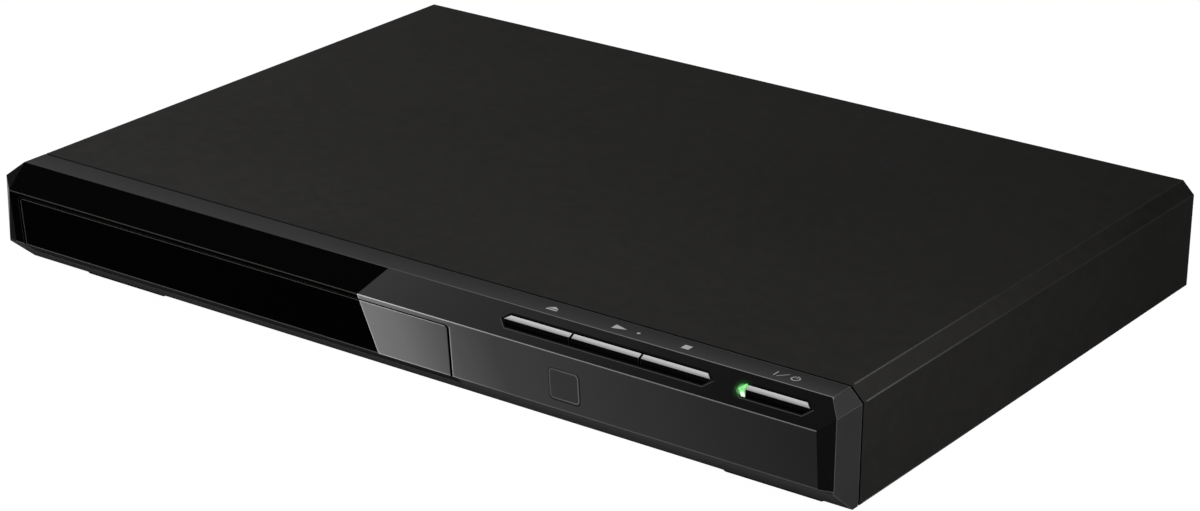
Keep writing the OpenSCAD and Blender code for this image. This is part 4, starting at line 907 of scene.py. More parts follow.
# Capacitors: their places on the board, their radius and their height.
CANS = [([(121, 68)], 8, 20), ([(108, 12), (120, 12), (132, 12)], 5, 14), ([(110, -8), (126, -8)], 4, 11),
        ([(30, 40), (44, 36), (82, 40)], 3.2, 8)]
sleeves, tops = [], []
for places, r, h in CANS:
    outline = [(0, 0), (r - 0.5, 0), (r - 0.1, 0.25), (r, 0.7), (r, 1.5), (r - 0.2, 1.8), (r - 0.42, 2.2),
               (r - 0.2, 2.6), (r, 2.9), (r, h - 0.8), (r - 0.12, h - 0.35), (r - 0.4, h - 0.08),
               (r - 0.8, h), (r - 1.15, h - 0.1), (r - 1.2, h - 0.4), (0, h - 0.4)]
    sleeves.append(turned(outline, [(*place, BOARD_TOP) for place in places]))
    tops.append(crossed_heads([(*place, BOARD_TOP + h - 0.45) for place in places], UP, r - 1.15, 0.32,
                              arm=0.7, width=0.03, depth=0.5, dome=0.08, rings=12))
sleeved = make_piece("sleeved_capacitors", "casing", "capacitor_sleeve",
                     (np.concatenate(sleeves), sleeve_film), (np.concatenate(tops), can_top))
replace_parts(sleeved, "board_capacitors")

wear(sheet_steel("extruded_aluminium", (0.76, 0.77, 0.78), 0.36, (1.0, 1.0, 0.03)), "heat_sink")

GLASS_FROM, GLASS_TO = 0.0672, 0.0768
paint, at, x, y, z = start("fuse_parts")
metal_end = (y < GLASS_FROM).most(y > GLASS_TO)
smoke = paint.noise(at, 260.0, 3.0)
glass = paint.coat((0.8, 0.84, 0.82), 0.04, Alpha=0.3 + smoke * 0.1)
brushed = paint.coat(paint.blend(smoke, (0.55, 0.54, 0.5), (0.78, 0.77, 0.72)), 0.2 + smoke * 0.15, 1.0,
                     height=smoke, depth=0.00001)
wear(paint.done(paint.mix(metal_end, glass, brushed)), "mains_fuse")
fuse_path = smooth_path([(146, 66, 15.2), (146.1, 70, 15.8), (145.9, 74, 15.5), (146, 78, 15.9)], 20)
make_piece("fuse_wire", "casing", "nickel", (tubes([fuse_path], 0.12, 8), tinned_leads))


def wound_ring(place, ring, core, wire, turns):
    """A toroid choke: round the ring's angle the tube swells by half a wire for each of its turns."""
    t = np.linspace(0, 2 * np.pi, turns * 8 + 1)[:, None]
    a = np.linspace(0, 2 * np.pi, 20, endpoint=False)[None, :]
    tube = core + wire * wire_rounds(t * turns / (2 * np.pi))
    reach = ring + tube * np.cos(a)
    points = np.stack([reach * np.cos(t), reach * np.sin(t), tube * np.sin(a)], axis=-1)
    return np.array(place, float) + points[None]


SPOOLS = [(142, -4, BOARD_TOP), (146.5, 8, BOARD_TOP)]
lower_flange = [(0, 0), (4.2, 0), (4.4, 0.2), (4.4, 1.1), (3.1, 1.3), (0, 1.3)]
windings = [(0, 1.3), *((3.1 + 0.25 * (k % 2), 1.4 + 0.26 * k) for k in range(14)), (0, 5.2)]
upper_flange = [(0, 5.2), (3.1, 5.1), (4.4, 5.3), (4.4, 6.2), (4.2, 6.4), (0, 6.4)]
ferrite = moulded("ferrite", grey(50), grey(74), 0.6, grain=900.0)
make_piece("wound_parts", "casing", "winding_tape",
           (wound_ring((115.2, 84.4, BOARD_TOP + 2.9), 4.9, 1.9, 0.7, 34), coil_copper),
           (turned(lower_flange, SPOOLS), ferrite), (turned(windings, SPOOLS), coil_copper),
           (turned(upper_flange, SPOOLS), ferrite))


def lying(profile, places):
    """A profile of (radius, place along X) turned round X."""
    grid = turned(profile, [(0, 0, 0)], 24)
    return np.array(places, float)[:, None, None, :] + grid[..., [2, 0, 1]]


def looped_lead(y, x0, x1, height):
    """A wire that rises from the board at x0, passes through a lying part and goes down at x1."""
    low, bend, high = BOARD_TOP - 0.3, BOARD_TOP + height * 0.6, BOARD_TOP + height
    return smooth_path([(x0, y, low), (x0, y, bend), (x0 + 0.7, y, high), ((x0 + x1) / 2, y, high),
                        (x1 - 0.7, y, high), (x1, y, bend), (x1, y, low)], 40)


COLOUR_RINGS = ((0.1043, (0.3, 0.05, 0.01)), (0.1054, (0.02, 0.02, 0.02)),
                (0.1065, (0.6, 0.12, 0.01)), (0.1082, (0.5, 0.34, 0.06)))
CATHODE_X = 0.136

paint, at, x, y, z = start("banded_resistors")
fine = paint.noise(at, 900.0, 3.0)
colour = paint.blend(fine, (0.5, 0.36, 0.2), (0.62, 0.47, 0.28))
for place, ring_colour in COLOUR_RINGS:
    colour = paint.blend(abs(x - place) < 0.0003, colour, ring_colour)
banded = paint.finish(colour, 0.3 + fine * 0.1, specular=0.4, height=fine, depth=0.00002)

paint, at, x, y, z = start("diode_epoxy")
fine = paint.noise(at, 1500.0, 3.0)
ring = abs(x - CATHODE_X) < 0.0004
colour = paint.blend(ring, paint.blend(fine, grey(22), grey(34)), grey(170))
diode_epoxy = paint.finish(colour, 0.42 + fine * 0.1, specular=0.35, height=fine, depth=0.00002)

RESISTOR_ROWS, DIODE_ROWS = (22, 26, 30, 34, 38), (64, 68, 72, 76)
resistor_line = [(0, -3.1), (0.9, -3.1), (1.25, -2.8), (1.25, -1.7), (1.05, -1.3), (1.05, 1.3), (1.25, 1.7),
                 (1.25, 2.8), (0.9, 3.1), (0, 3.1)]
diode_line = [(0, -2.5), (1.2, -2.5), (1.35, -2.3), (1.35, 2.3), (1.2, 2.5), (0, 2.5)]
leads = [looped_lead(row, 102.3, 110.3, 1.9) for row in RESISTOR_ROWS]
leads += [looped_lead(row, 130.6, 138.6, 2) for row in DIODE_ROWS]
make_piece("axial_parts", "casing", "chip_black",
           (lying(resistor_line, [(106.3, row, BOARD_TOP + 1.9) for row in RESISTOR_ROWS]), banded),
           (lying(diode_line, [(134.6, row, BOARD_TOP + 2) for row in DIODE_ROWS]), diode_epoxy),
           (tubes(leads, 0.3, 8), tinned_leads))

paint, at, *_ = start("boxed_film")
fine = paint.noise(at, 1100.0, 3.0)
# Painted highlight: paler edges.
colour = paint.blend(paint.rim(0.0004) * 0.5, paint.blend(fine, (0.55, 0.4, 0.03), (0.66, 0.5, 0.06)),
                     (0.8, 0.66, 0.2))
boxed_film = paint.finish(colour, 0.36 + fine * 0.12, specular=0.35, height=fine, depth=0.00003, edge=0.0004)
TAB_LEGS = (37.7, 40.2, 42.7)
tab_and_legs = blocks([(143.6, 35.2, 17), *((142.4, leg - 0.4, BOARD_TOP - 0.2) for leg in TAB_LEGS)],
                      [(145, 45.2, 32), *((143, leg + 0.4, 17.2) for leg in TAB_LEGS)], 0.12)
make_piece("supply_blocks", "casing", "chip_black",
           (blocks((127, 84, BOARD_TOP), (141, 89.8, 22.4), 0.5), boxed_film),
           (blocks((140.9, 35.2, 16.6), (144.6, 45.2, 25.6), 0.35), epoxy),
           (tab_and_legs, tinned_leads),
           (crossed_heads([(143.6, 40.2, 29)], LEFT, 2.3, 1.4), zinc_screw))


# ---------------------------------------------------------------- flat cables and key switches
# White film cables with their conductors showing through as grey lines; small switches with a pressed
# steel frame and a dark plunger.
LINE_PITCH, LINE_SHARE, TOP_RUN_Z, TURN_Y = 0.001, 0.6, 0.0305, 0.079

paint, at, x, y, z = start("cable_film")
lines = x.band(LINE_PITCH, LINE_SHARE) * ((z < TOP_RUN_Z).most(y < TURN_Y))
cross_lines = y.band(LINE_PITCH, LINE_SHARE) * (z > TOP_RUN_Z) * (y > TURN_Y + 0.0005)
ripple = paint.noise(at, 150.0, 3.0)
colour = paint.blend(lines.most(cross_lines), paint.blend(ripple, (0.66, 0.67, 0.68), (0.8, 0.8, 0.8)),
                     (0.42, 0.42, 0.43))
wear(paint.finish(colour, 0.3 + ripple * 0.15, specular=0.4, height=lines + ripple * 0.5, depth=0.00003),
     "flat_cables")

paint, at, *_ = start("switch_frame")
fine = paint.noise(at, 1500.0)
steel_part = (paint.facing()[0] > 0.5) * 0.8
colour = paint.blend(steel_part, paint.blend(fine, grey(26), grey(40)), (0.5, 0.5, 0.5))
wear(paint.finish(colour, 0.34 + fine * 0.1, steel_part, specular=0.3, height=fine, depth=0.00002,
                  edge=0.0002), "key_switches")


# ---------------------------------------------------------------- rear panel and its sockets
# Steel sheet with a dark powder coat; thin pale lines printed round each group of sockets. The phono
# sockets have nickel barrels on a black block, with coloured insulators that tell their signals apart.
REAR_Y = 0.1082
GROUPS = [(20.6, 24.6, 61.4, 37.2), (20.6, 11, 61.4, 23.4), (63.6, 11, 76.4, 24.4), (78.8, 10.6, 97.2, 20.8)]
CORNER = 1.5


def beyond_box(u, v, u0, v0, u1, v1):
    """Distance from the outline of a rounded box, negative inside. With d how far a point passes the
    box's half sizes less the corner radius, it is |max(d, 0)| + min(max(du, dv), 0) - radius."""
    past_u = abs(u - (u0 + u1) / 2000) - (u1 - u0 - 2 * CORNER) / 2000
    past_v = abs(v - (v0 + v1) / 2000) - (v1 - v0 - 2 * CORNER) / 2000
    return distance(past_u.most(0.0), past_v.most(0.0)) + past_u.most(past_v).least(0.0) - CORNER / 1000


def group_lines(paint, x, y, z, colour):
    """Thin printed frames round the groups, on the outside of the panel."""
    for group in GROUPS:
        line = (abs(beyond_box(x, z, *group)) < 0.00016) * (y > REAR_Y - 0.0001)
        colour = paint.blend(line, colour, grey(150))
    return colour


paint, at, x, y, z = start("powder_coat")
orange_peel = paint.cells(at, 1100.0, "SMOOTH_F1")
cloud = paint.noise(at, 20.0, 3.0)
speck = paint.noise(at, 900.0, 3.0)
colour = paint.blend(cloud * 0.6 + speck * 0.4, grey(26), grey(42, 0.5))
# Painted highlight: paler coat along the edges.
colour = paint.blend(paint.rim(0.0004) * 0.4, colour, grey(72, 1))
wear(paint.finish(group_lines(paint, x, y, z, colour), 0.5 + speck * 0.14, specular=0.06,
                  height=orange_peel * -0.8 + speck * 0.4, depth=0.00009, edge=0.0003), "rear_panel")

socket_plastic = moulded("socket_plastic", grey(26), grey(38), 0.45, 0.12)
wear(socket_plastic, "av_socket_block")


# Six phono sockets stand on a grid of three columns and two rows, and the seventh beside the lower row.
GRID_X, GRID_Z, COLUMN, ROW, SINGLE_X = 0.020, 0.01075, 0.014, 0.0135, 0.070
GRID_END = GRID_X + 3 * COLUMN
CONTACT_RADIUS, INSULATOR_RADIUS = 0.00165, 0.0030


def nearest_socket(x, z):
    """Distance in the panel's plane to the nearest of the seven phono sockets."""
    in_column = ((x - GRID_X) % COLUMN - COLUMN / 2) * (x < GRID_END)
    beside = (x - SINGLE_X) * (x > GRID_END)
    return distance(in_column + beside, (z - GRID_Z) % ROW - ROW / 2)


def signal_colour(paint, x, z):
    """The insulators' colours: green, blue and red above; yellow, white, red and orange below."""
    green, blue, red = (0.02, 0.28, 0.06), (0.02, 0.08, 0.42), (0.5, 0.015, 0.012)
    yellow, white, orange = (0.75, 0.5, 0.02), (0.72, 0.72, 0.7), (0.75, 0.2, 0.015)
    second, third = x > GRID_X + COLUMN, x > GRID_X + 2 * COLUMN
    upper = paint.blend(third, paint.blend(second, green, blue), red)
    lower = paint.blend(third, paint.blend(second, yellow, white), red)
    return paint.blend(z > GRID_Z + ROW, paint.blend(x > GRID_END, lower, orange), upper)


paint, at, x, y, z = start("nickel_barrels")
away = nearest_socket(x, z)
machined = paint.noise(paint.stretch(at, 0.3, 6.0, 0.3), 700.0, 3.0)
stain = paint.noise(at, 240.0, 3.0)
nickel = paint.coat(paint.blend(stain, (0.55, 0.53, 0.48), (0.8, 0.78, 0.74)), 0.14 + machined * 0.14, 1.0,
                    height=machined, depth=0.00001, edge=0.0002)
core_colour = paint.blend(away < CONTACT_RADIUS, signal_colour(paint, x, z), (0.5, 0.38, 0.14))
core = paint.coat(core_colour, 0.35 + stain * 0.1, specular=0.3, height=stain, depth=0.00001)
wear(paint.done(paint.mix((away < INSULATOR_RADIUS) * (y > REAR_Y - 0.0004), nickel, core)), "av_barrels")

paint, at, x, y, z = start("signal_rings")
fine = paint.noise(at, 1500.0)
signal_rings = paint.finish(paint.blend(fine * 0.2, signal_colour(paint, x, z), (0.02, 0.02, 0.02)),
                            0.34 + fine * 0.1, specular=0.3, height=fine, depth=0.00001)
SOCKETS = [(across, 107.3, up) for across in (27, 41, 55) for up in (17.5, 31)] + [(70, 107.3, 17.5)]
ring_line = [(4.2, 0), (4.9, 0), (4.9, 1.25), (4.7, 1.5), (4.35, 1.55), (4.2, 1.4), (4.2, 0)]
ring_grid = turned(ring_line, [(0, 0, 0)], 48)[..., [0, 2, 1]]
make_piece("insulator_rings", "casing", "socket_plastic",
           (np.array(SOCKETS)[:, None, None, :] + ring_grid, signal_rings))

paint, at, x, y, z = start("black_zinc")
oxide = paint.noise(at, 420.0, 3.0)
flat = paint.facing()[1] > 0.9
# Painted shade: faces that face back within 0.95 mm of the panel, such as the floor of the cross, are
# darkened.
sunk = (y < REAR_Y + 0.00095) * flat
colour = paint.blend(sunk, paint.blend(oxide, grey(44), grey(66, 1)), grey(22))
# Painted highlight: paler edges.
colour = paint.blend(paint.rim(0.0002) * 0.6, colour, grey(140, 2))
black_zinc = paint.finish(colour, 0.3 + oxide * 0.2, 0.7, specular=0.3, height=oxide, depth=0.00001,
                          edge=0.0002)
wear(black_zinc, "cover_screws")
rear_screws = [(across, REAR_Y * 1000, up)
               for across, up in ((34, 24.2), (48, 24.2), (88, 23.4), (-60, 9), (-130, 9), (110, 9))]
make_piece("socket_screws", "casing", "dark_screw",
           (crossed_heads(rear_screws, BACK, radius=2.5, height=1.3), black_zinc))

TONGUE_X, TONGUE_Y, TONGUE_Z = (0.0824, 0.0936), (0.0966, 0.10775), (0.01525, 0.01645)


paint, at, x, y, z = start("digital_shell")
tongue = between(x, *TONGUE_X) * between(y, *TONGUE_Y) * between(z, *TONGUE_Z)
contacts = x.band(0.001, 0.5) * tongue
stain = paint.noise(at, 260.0, 3.0)
colour = paint.blend(stain, (0.56, 0.55, 0.52), (0.78, 0.77, 0.74))
colour = paint.blend(contacts, paint.blend(tongue, colour, grey(26)), (0.7, 0.5, 0.16))
wear(paint.finish(colour, 0.22 + stain * 0.12 + tongue * 0.1, 1.0 - tongue * (1.0 - contacts), specular=0.3,
                  height=stain, depth=0.00001, edge=0.0002), "digital_socket")


def inlet_pins(paint, x, y, z, colour):
    """Bare metal within a pin's radius of either pin's axis, in front of the hollow's back wall."""
    middle_x, half_pitch, middle_z, pin_radius, back_wall = 0.138, 0.0043, 0.0205, 0.00126, 0.0962
    reach = distance(abs(x - middle_x) - half_pitch, z - middle_z)
    return paint.blend((reach < pin_radius) * (y > back_wall), colour, (0.62, 0.6, 0.54))


wear(moulded("inlet_plastic", grey(24), grey(36), 0.45, 0.12, ink=inlet_pins), "mains_inlet")


# ---------------------------------------------------------------- front frame
# Moulded in black plastic with a fine spark texture; its lip carries the cover's front edge.
# Pale signs for the keys are printed on its upper strip: eject, play, stop and power.
# Light and shade are painted on it too: pale highlights along its edges on the right, an upper strip that
# is lighter at the front and darker towards its rear, paler bevels at its upper corners, shade in the
# undercut and a shadow in the gap under the cover.
TOP = 0.039
SEAM_Y, SIGN_Y = -0.0988, -0.1036
STRIP_EDGE, LOW_EDGE = (-0.1083, TOP), (-0.114, 0.0129)
STRIP_DEPTH, BEVEL_DEPTH = 0.0092, 0.0041


def to_the_right(x):
    """0 on the left of the front, rising to 1 over the 160 mm from x = -40 mm on."""
    return ((x + 0.04) / 0.16).clamped()


def seam_shadow(paint, x):
    """Painted shadow in the gap between the frame and the cover, a little less dark at the left."""
    return paint.blend(to_the_right(x), grey(26), grey(8))


def slanting(sideways):
    """1 on the bevels, whose normals point sideways by about as much as up or forwards."""
    return between(sideways, 0.5, 0.9)


def up_the_cut(z):
    """0 at the lower edge of the undercut and 1 near its top, for painted shade that darkens the undercut
    towards its lower edge.
    """
    return ((z - 0.0045) / 0.006).clamped()


def printed_signs(x, y, z):
    """1 inside a printed sign. Each shape is a distance that is above 0 inside it, the least of its sides'
    distances; the signs are joined by their largest value."""
    eject_x, play_x, dot_x, stop_x = 0.0562, (0.0781, 0.0828), 0.0869, 0.1038
    on_x, slash_x, off_x = 0.1342, 0.1366, 0.1408
    v = y - SIGN_Y

    def bar(u, w, middle, half_w, half_h):
        """Rectangle round (middle, 0)."""
        return (half_w - abs(u - middle)).least(half_h - abs(w))

    def wedge(u, w, half_w, low, high):
        """Triangle that narrows from half_w at low to nothing at high."""
        run = (w - low) * (half_w / (high - low))
        return (half_w - run - abs(u)).least(w - low).least(high - w)

    eject = wedge(x - eject_x, v, 0.002, -0.0001, 0.0014).most(bar(x, v + 0.0009, eject_x, 0.002, 0.00035))
    play = wedge(v, x, 0.0015, *play_x)
    dot = 0.00055 - distance(x - dot_x, v)
    stop = bar(x, v, stop_x, 0.0013, 0.0013)
    on_bar = bar(x, v, on_x, 0.0002, 0.0014)
    slash = bar(x - v * 0.9, v, slash_x, 0.00022, 0.0015)
    ring_x = x - off_x
    ring = 0.00024 - abs(distance(ring_x, v) - 0.00125)
    ring = ring.least(abs(ring_x) + (0.0004 - v).most(0.0) * 4.0 - 0.00045)
    tick = bar(ring_x, v - 0.001, 0.0, 0.0002, 0.0008)
    marks = eject.most(play).most(dot).most(stop).most(on_bar).most(slash).most(ring).most(tick)
    return (marks > 0.0) * (z > TOP - 0.0001) * (1.0 - (x > 0.13) * 0.25)


paint, at, x, y, z = start("frame_plastic")
spark = paint.noise(at, 2600.0, 2.0)
drift = paint.noise(at, 60.0)
rightwards = to_the_right(x)
# Painted highlight: a pale line along the sharp edges and the strip's front edge, on the right part only.
front_edge = (y < STRIP_EDGE[0] + 0.0005) * (z > TOP - 0.0004)
frame_edge_highlight = (paint.rim(0.0003) * 0.75).most(front_edge) * rightwards
sideways = paint.facing()[0]
lit_chamfer = slanting(sideways) * (z > TOP - BEVEL_DEPTH)
on_strip = z > TOP - 0.0005
# Painted light and shade on the upper strip: lighter at its front edge, darker towards its rear, both more so
# on the right.
strip_rear_shade = ((y - STRIP_EDGE[0]) / STRIP_DEPTH).clamped() * on_strip
frame_colour = paint.blend(drift, grey(44), grey(52))
frame_colour = paint.blend(on_strip * (1.0 - strip_rear_shade) * 0.9, frame_colour,
                           paint.blend(rightwards, grey(53), grey(59)))
frame_colour = paint.blend(strip_rear_shade * (0.3 + rightwards * 0.5), frame_colour, grey(39))
frame_colour = paint.blend(frame_edge_highlight, frame_colour, grey(122, 2))
# Painted light: the slanting bevels near the top are paler.
frame_colour = paint.blend(lit_chamfer * (1.0 - frame_edge_highlight) * 0.3, frame_colour, grey(74))
# Painted shade under the overhang: the undercut is darker towards its lower edge.
under = (z < LOW_EDGE[1] - 0.0003) * (y < -0.1) * (sideways < 0.5)
frame_colour = paint.blend(under, frame_colour, paint.blend(up_the_cut(z), grey(18), grey(40)))
# Painted shadow in the gap under the cover.
frame_colour = paint.blend(y > SEAM_Y - 0.00002, frame_colour, seam_shadow(paint, x))
frame_colour = paint.blend(printed_signs(x, y, z), frame_colour, grey(160))
wear(paint.finish(frame_colour, 0.5 + spark * 0.12, specular=0.003, height=spark, depth=0.00003, edge=0.0002),
     "front_panel")


# ---------------------------------------------------------------- glossy face, tray door and window
# The face and the door are moulded in glossy black. A grey patch is painted on them as a painted
# reflection: it starts at a line that slants away from the ridge and fades out to the right. The infrared
# window, a smoked square of the same finish with a painted highlight round its edge, sits flush in the face.
RIDGE, UNDERSIDE_EDGE = (-0.116, 0.0315), (-0.1018, 0.003)
SLOPE = math.atan2(STRIP_EDGE[1] - RIDGE[1], STRIP_EDGE[0] - RIDGE[0])
FACE_HALF = 0.1557
LED_AT, LED_GLOW, LED_CORE = (0.1284, -0.1119, 0.0354), 0.0036, 0.0019
DOOR_TOP, DOOR_LEFT, OPENING_RIGHT = 0.0296, -0.151, 0.0266
KEY_SLOTS, SLOT_MIDDLE, SLOT_HALF = ((0.0438, 0.1179), (0.1269, 0.1513)), -0.0051, 0.00205
SLOT_BORDER, HALF_KEY = 0.0005, 0.0019
WINDOW = (63.05, 16.1, 73.95, 26.3)
# Where the painted reflection starts, the slants of its starting line above and below the ridge, and its
# length.
PATCH_X, SLANT_ABOVE, SLANT_BELOW, PATCH_LENGTH = -0.0086, 0.827, 0.35, 0.16
SKIN = 0.00012


def below(y, z, upper, lower):
    """How deep a point lies behind the plane through two (y, z) edges of the face, in metres."""
    run_y, run_z = lower[0] - upper[0], lower[1] - upper[1]
    length = math.hypot(run_y, run_z)
    return (z - upper[1]) * (run_y / length) - (y - upper[0]) * (run_z / length)


def up_the_slope(y, z):
    """Distance up the sloping face from its upper edge, so 0 at the edge and negative below it."""
    return (y - STRIP_EDGE[0]) * math.cos(SLOPE) + (z - STRIP_EDGE[1]) * math.sin(SLOPE)


def round_slots(x, y, z):
    """Distance from the nearer key slot, a hexagon whose ends slant by as much as they rise."""
    v = abs(up_the_slope(y, z) - SLOT_MIDDLE)
    left, right = ((v - (x - x0)).most(v - (x1 - x)) * math.sqrt(0.5) for x0, x1 in KEY_SLOTS)
    return left.least(right).most(v - SLOT_HALF)


def gloss_face(name, door=False, window=False):
    """Black gloss, with a painted reflection: a grey area that starts at x = PATCH_X plus the distance above
    the ridge times one slant, or below it times the other. Thin painted highlights lie along the edges,
    painted shade round the slots, beside the window and in the undercut, and a painted green glow round the
    guide."""
    paint, at, x, y, z = start(name)
    under_slope = below(y, z, STRIP_EDGE, RIDGE)
    under_face = below(y, z, RIDGE, LOW_EDGE)
    under_cut = below(y, z, LOW_EDGE, UNDERSIDE_EDGE)
    on_slope = (under_slope < SKIN) * (under_face > SKIN)
    on_face = (under_face < SKIN) * (abs(x) < FACE_HALF)
    on_cut = (under_cut < SKIN) * (under_face > SKIN)
    # The painted reflection: a grey area, lighter on the lower face than on the slope, fading out to the
    # right. printed holds no print: it holds this painted reflection and the painted highlights and shade
    # laid on it below.
    above_ridge, below_ridge = (z - RIDGE[1]).most(0.0), (RIDGE[1] - z).most(0.0)
    past = x - (above_ridge * SLANT_ABOVE + below_ridge * SLANT_BELOW + PATCH_X)
    along = (past / PATCH_LENGTH).clamped()
    patch = (past > 0.0) * (on_slope + on_face).clamped()
    low = paint.greys(along, (0.0, 128), (0.08, 119), (0.16, 98), (0.22, 84), (0.32, 66), (0.46, 60),
                      (0.6, 55), (0.85, 44), (1.0, 38))
    high = paint.greys(along, (0.0, 50), (0.2, 42), (0.45, 33), (0.65, 23), (0.8, 16), (1.0, 13))
    cloud = paint.noise(at, 14.0)
    printed = paint.blend(cloud * 0.25, paint.blend(on_slope, low, high), grey(20))
    if door:
        edges = (z > DOOR_TOP - 0.0002).most(x < DOOR_LEFT + 0.00025)
    else:
        edges = between(x, OPENING_RIGHT, OPENING_RIGHT + 0.0003) * (z < DOOR_TOP)
        # Painted shade round the key slots, and a painted highlight along their lower edges.
        surround = round_slots(x, y, z)
        printed = paint.blend((surround < SLOT_BORDER) * on_slope, printed, grey(10))
        lower_half = up_the_slope(y, z) < SLOT_MIDDLE
        slot_line_highlight = (abs(surround - SLOT_BORDER - 0.0001) < 0.00012) * on_slope * lower_half
        printed = paint.blend(slot_line_highlight * 0.5, printed, grey(84))
    # Painted highlights along the door's and opening's edges, the ridge, the lower edge and the start of the
    # reflection.
    bright = paint.greys(along, (0.0, 232), (0.2, 210), (0.3, 176), (0.5, 152), (1.0, 134))
    ridge = (under_slope.most(under_face) < 0.00016) * on_face
    lower_line = (z < LOW_EDGE[1] + 0.00025) * on_face
    fringe = (past < 0.0003) * on_face
    fading = 1.0 - ((x - 0.01) / 0.03).clamped() * 0.55
    printed = paint.blend((edges * on_face).most(lower_line * fading).most(fringe) * 0.4, printed, bright)
    printed = paint.blend(ridge * 0.55, printed, bright)
    if not door:
        # Painted highlight round the window's edge, brighter to the right, and painted shadow outside its
        # right and lower sides.
        out = beyond_box(x, z, *WINDOW)
        if window:
            outline = (abs(out + 0.00035) < 0.00018) * (((x - 0.062) / 0.011).clamped() * 0.5 + 0.35)
            printed = paint.blend(outline, paint.blend(0.15, printed, grey(20)), grey(104))
        else:
            right_or_below = (x > WINDOW[2] / 1000 - 0.00055) + (z < WINDOW[1] / 1000 + 0.0005)
            shade = (out < 0.00045) * right_or_below.clamped()
            printed = paint.blend(shade * 0.6, printed, grey(12))
    # On the black: painted highlights along the edges, the lower edge and the ridge, and painted light that
    # makes the bevels at both ends a little paler.
    dark = paint.blend((edges * on_face).most(paint.rim(0.0002) * 0.7), grey(1), grey(62, 1))
    dark = paint.blend(lower_line, dark, grey(72, 1))
    dark = paint.blend(ridge, dark, grey(55, 2))
    dark = paint.blend((abs(x) > FACE_HALF) * (y < -0.1), dark, grey(15))
    fine = paint.noise(at, 3000.0)
    more = {}
    if not (door or window):
        # Painted light from the guide: the face round it glows green, strongest close to it.
        reach = distance(x - LED_AT[0], y - LED_AT[1], z - LED_AT[2])
        near = (1.0 - reach / LED_GLOW).clamped() ** 2.0
        tight = ((LED_CORE - reach) / 0.0005).clamped()
        glow = paint.blend(near, (0.0, 0.0, 0.0), (0.02, 0.2, 0.025))
        more = {"Emission_Color": paint.blend(tight, glow, (0.07, 0.34, 0.08)), "Emission_Strength": 1.0}
    black = paint.coat(dark, 0.06 + fine * 0.03, specular=0.002, edge=0.0002, **more)
    reflection_coat = paint.coat(printed, 0.3 + fine * 0.06, specular=0.006, edge=0.0002, **more)
    # Painted shade in the undercut: darker towards its lower edge.
    cut_colour = paint.blend(up_the_cut(z), grey(18), paint.blend(fine, grey(33), grey(40)))
    matte = paint.coat(cut_colour, 0.6, specular=0.0)
    return paint.done(paint.mix(on_cut, paint.mix(patch, black, reflection_coat), matte))


wear(gloss_face("gloss_face"), "front_fascia")
wear(gloss_face("gloss_window", window=True), "ir_window")
wear(gloss_face("gloss_door", door=True), "tray_door")


# ---------------------------------------------------------------- keys and light guide
# Each cap has a ridge along its middle: the upper face is painted silver, with painted light that makes it
# lighter towards the top and near-white slanting end faces on the right. The rest is painted black for the
# shade and dark reflection on it, with painted highlights on its edges. The clear guide at the power key's
# left end carries green light from the board behind, with a painted highlight at its tip.
paint, at, x, y, z = start("silver_key")
across = paint.facing()[0]
fine = paint.noise(at, 2500.0)
brushed = paint.noise(paint.stretch(at, 0.05, 1.0, 1.0), 3500.0)
above_middle = up_the_slope(y, z) - SLOT_MIDDLE
# Painted light: the silver is lighter towards the top of its face.
shade = (above_middle / HALF_KEY).clamped() + brushed * 0.1 - 0.05
silver_colour = paint.greys(shade, (0.0, 120), (0.4, 160), (1.0, 196))
# Painted highlight: slanting faces right of x = 100 mm are near white.
silver_colour = paint.blend(slanting(across) * (x > 0.1), silver_colour, grey(236))
# The black stands in for the shade and dark reflection on the lower face; its edges get painted highlights.
black = paint.blend(paint.rim(0.00015) * 0.4, grey(5), grey(90))
lower = paint.coat(black, 0.2 + fine * 0.05, specular=0.01)
upper = paint.coat(silver_colour, 0.32 + fine * 0.1, specular=0.1, edge=0.0001)
# Silver only on the upper face and not on the side faces, which stay black as painted shade in the gaps.
painted = between(above_middle, 0.0001, 0.00175) * (across < 0.9)
wear(paint.done(paint.mix(painted, lower, upper)), "eject_key", "play_key", "stop_key", "power_key")

paint, at, x, y, z = start("lit_guide")
cloud = paint.noise(at, 900.0)
# Painted highlight: near white at the guide's lower right, over its green glow.
tip = ((x - (LED_AT[0] - 0.0006)) / 0.0009).clamped()
tip_highlight = tip * ((SLOT_MIDDLE - 0.0004 - up_the_slope(y, z)) / 0.0006).clamped()
glow_colour = paint.blend(tip_highlight, paint.blend(cloud, (0.07, 0.42, 0.08), (0.3, 0.75, 0.3)), (0.9, 1.0, 0.9))
wear(paint.finish((0.1, 0.3, 0.1), 0.2, specular=0.1, Emission_Color=glow_colour, Emission_Strength=0.85),
     "led_lens")


# ---------------------------------------------------------------- top cover
# One steel sheet, bent over the top and both sides and screwed on from behind. Its paint is a fine
# pebble coat. Light and shade are painted into the coat: it is lighter at the front left and darker towards
# the rear right, its bends there are paler, its edges get painted highlights that are strongest at the front,
# and a painted shadow lies in the gap at its front edge.
# Where the painted light is strongest, and how fast it fades to the right and to the rear.
LIT_CORNER, FADE_RIGHT, FADE_REAR = (-0.14, -0.09), 1.7, 2.8
paint, at, x, y, z = start("pebble_paint")
pebble = paint.cells(at, 1500.0, "SMOOTH_F1")
drift = paint.noise(at, 240.0, 3.0)
cloud = paint.noise(at, 9.0, 2.0)
tone = (drift * 0.6 + cloud * 0.4).clamped()
# Painted light and shade: the coat is lighter towards the front left and darker towards the rear right.
towards_rear = ((x - LIT_CORNER[0]) * FADE_RIGHT + (y - LIT_CORNER[1]) * FADE_REAR).clamped()
towards_front = ((-0.012 - y) / 0.085).clamped()
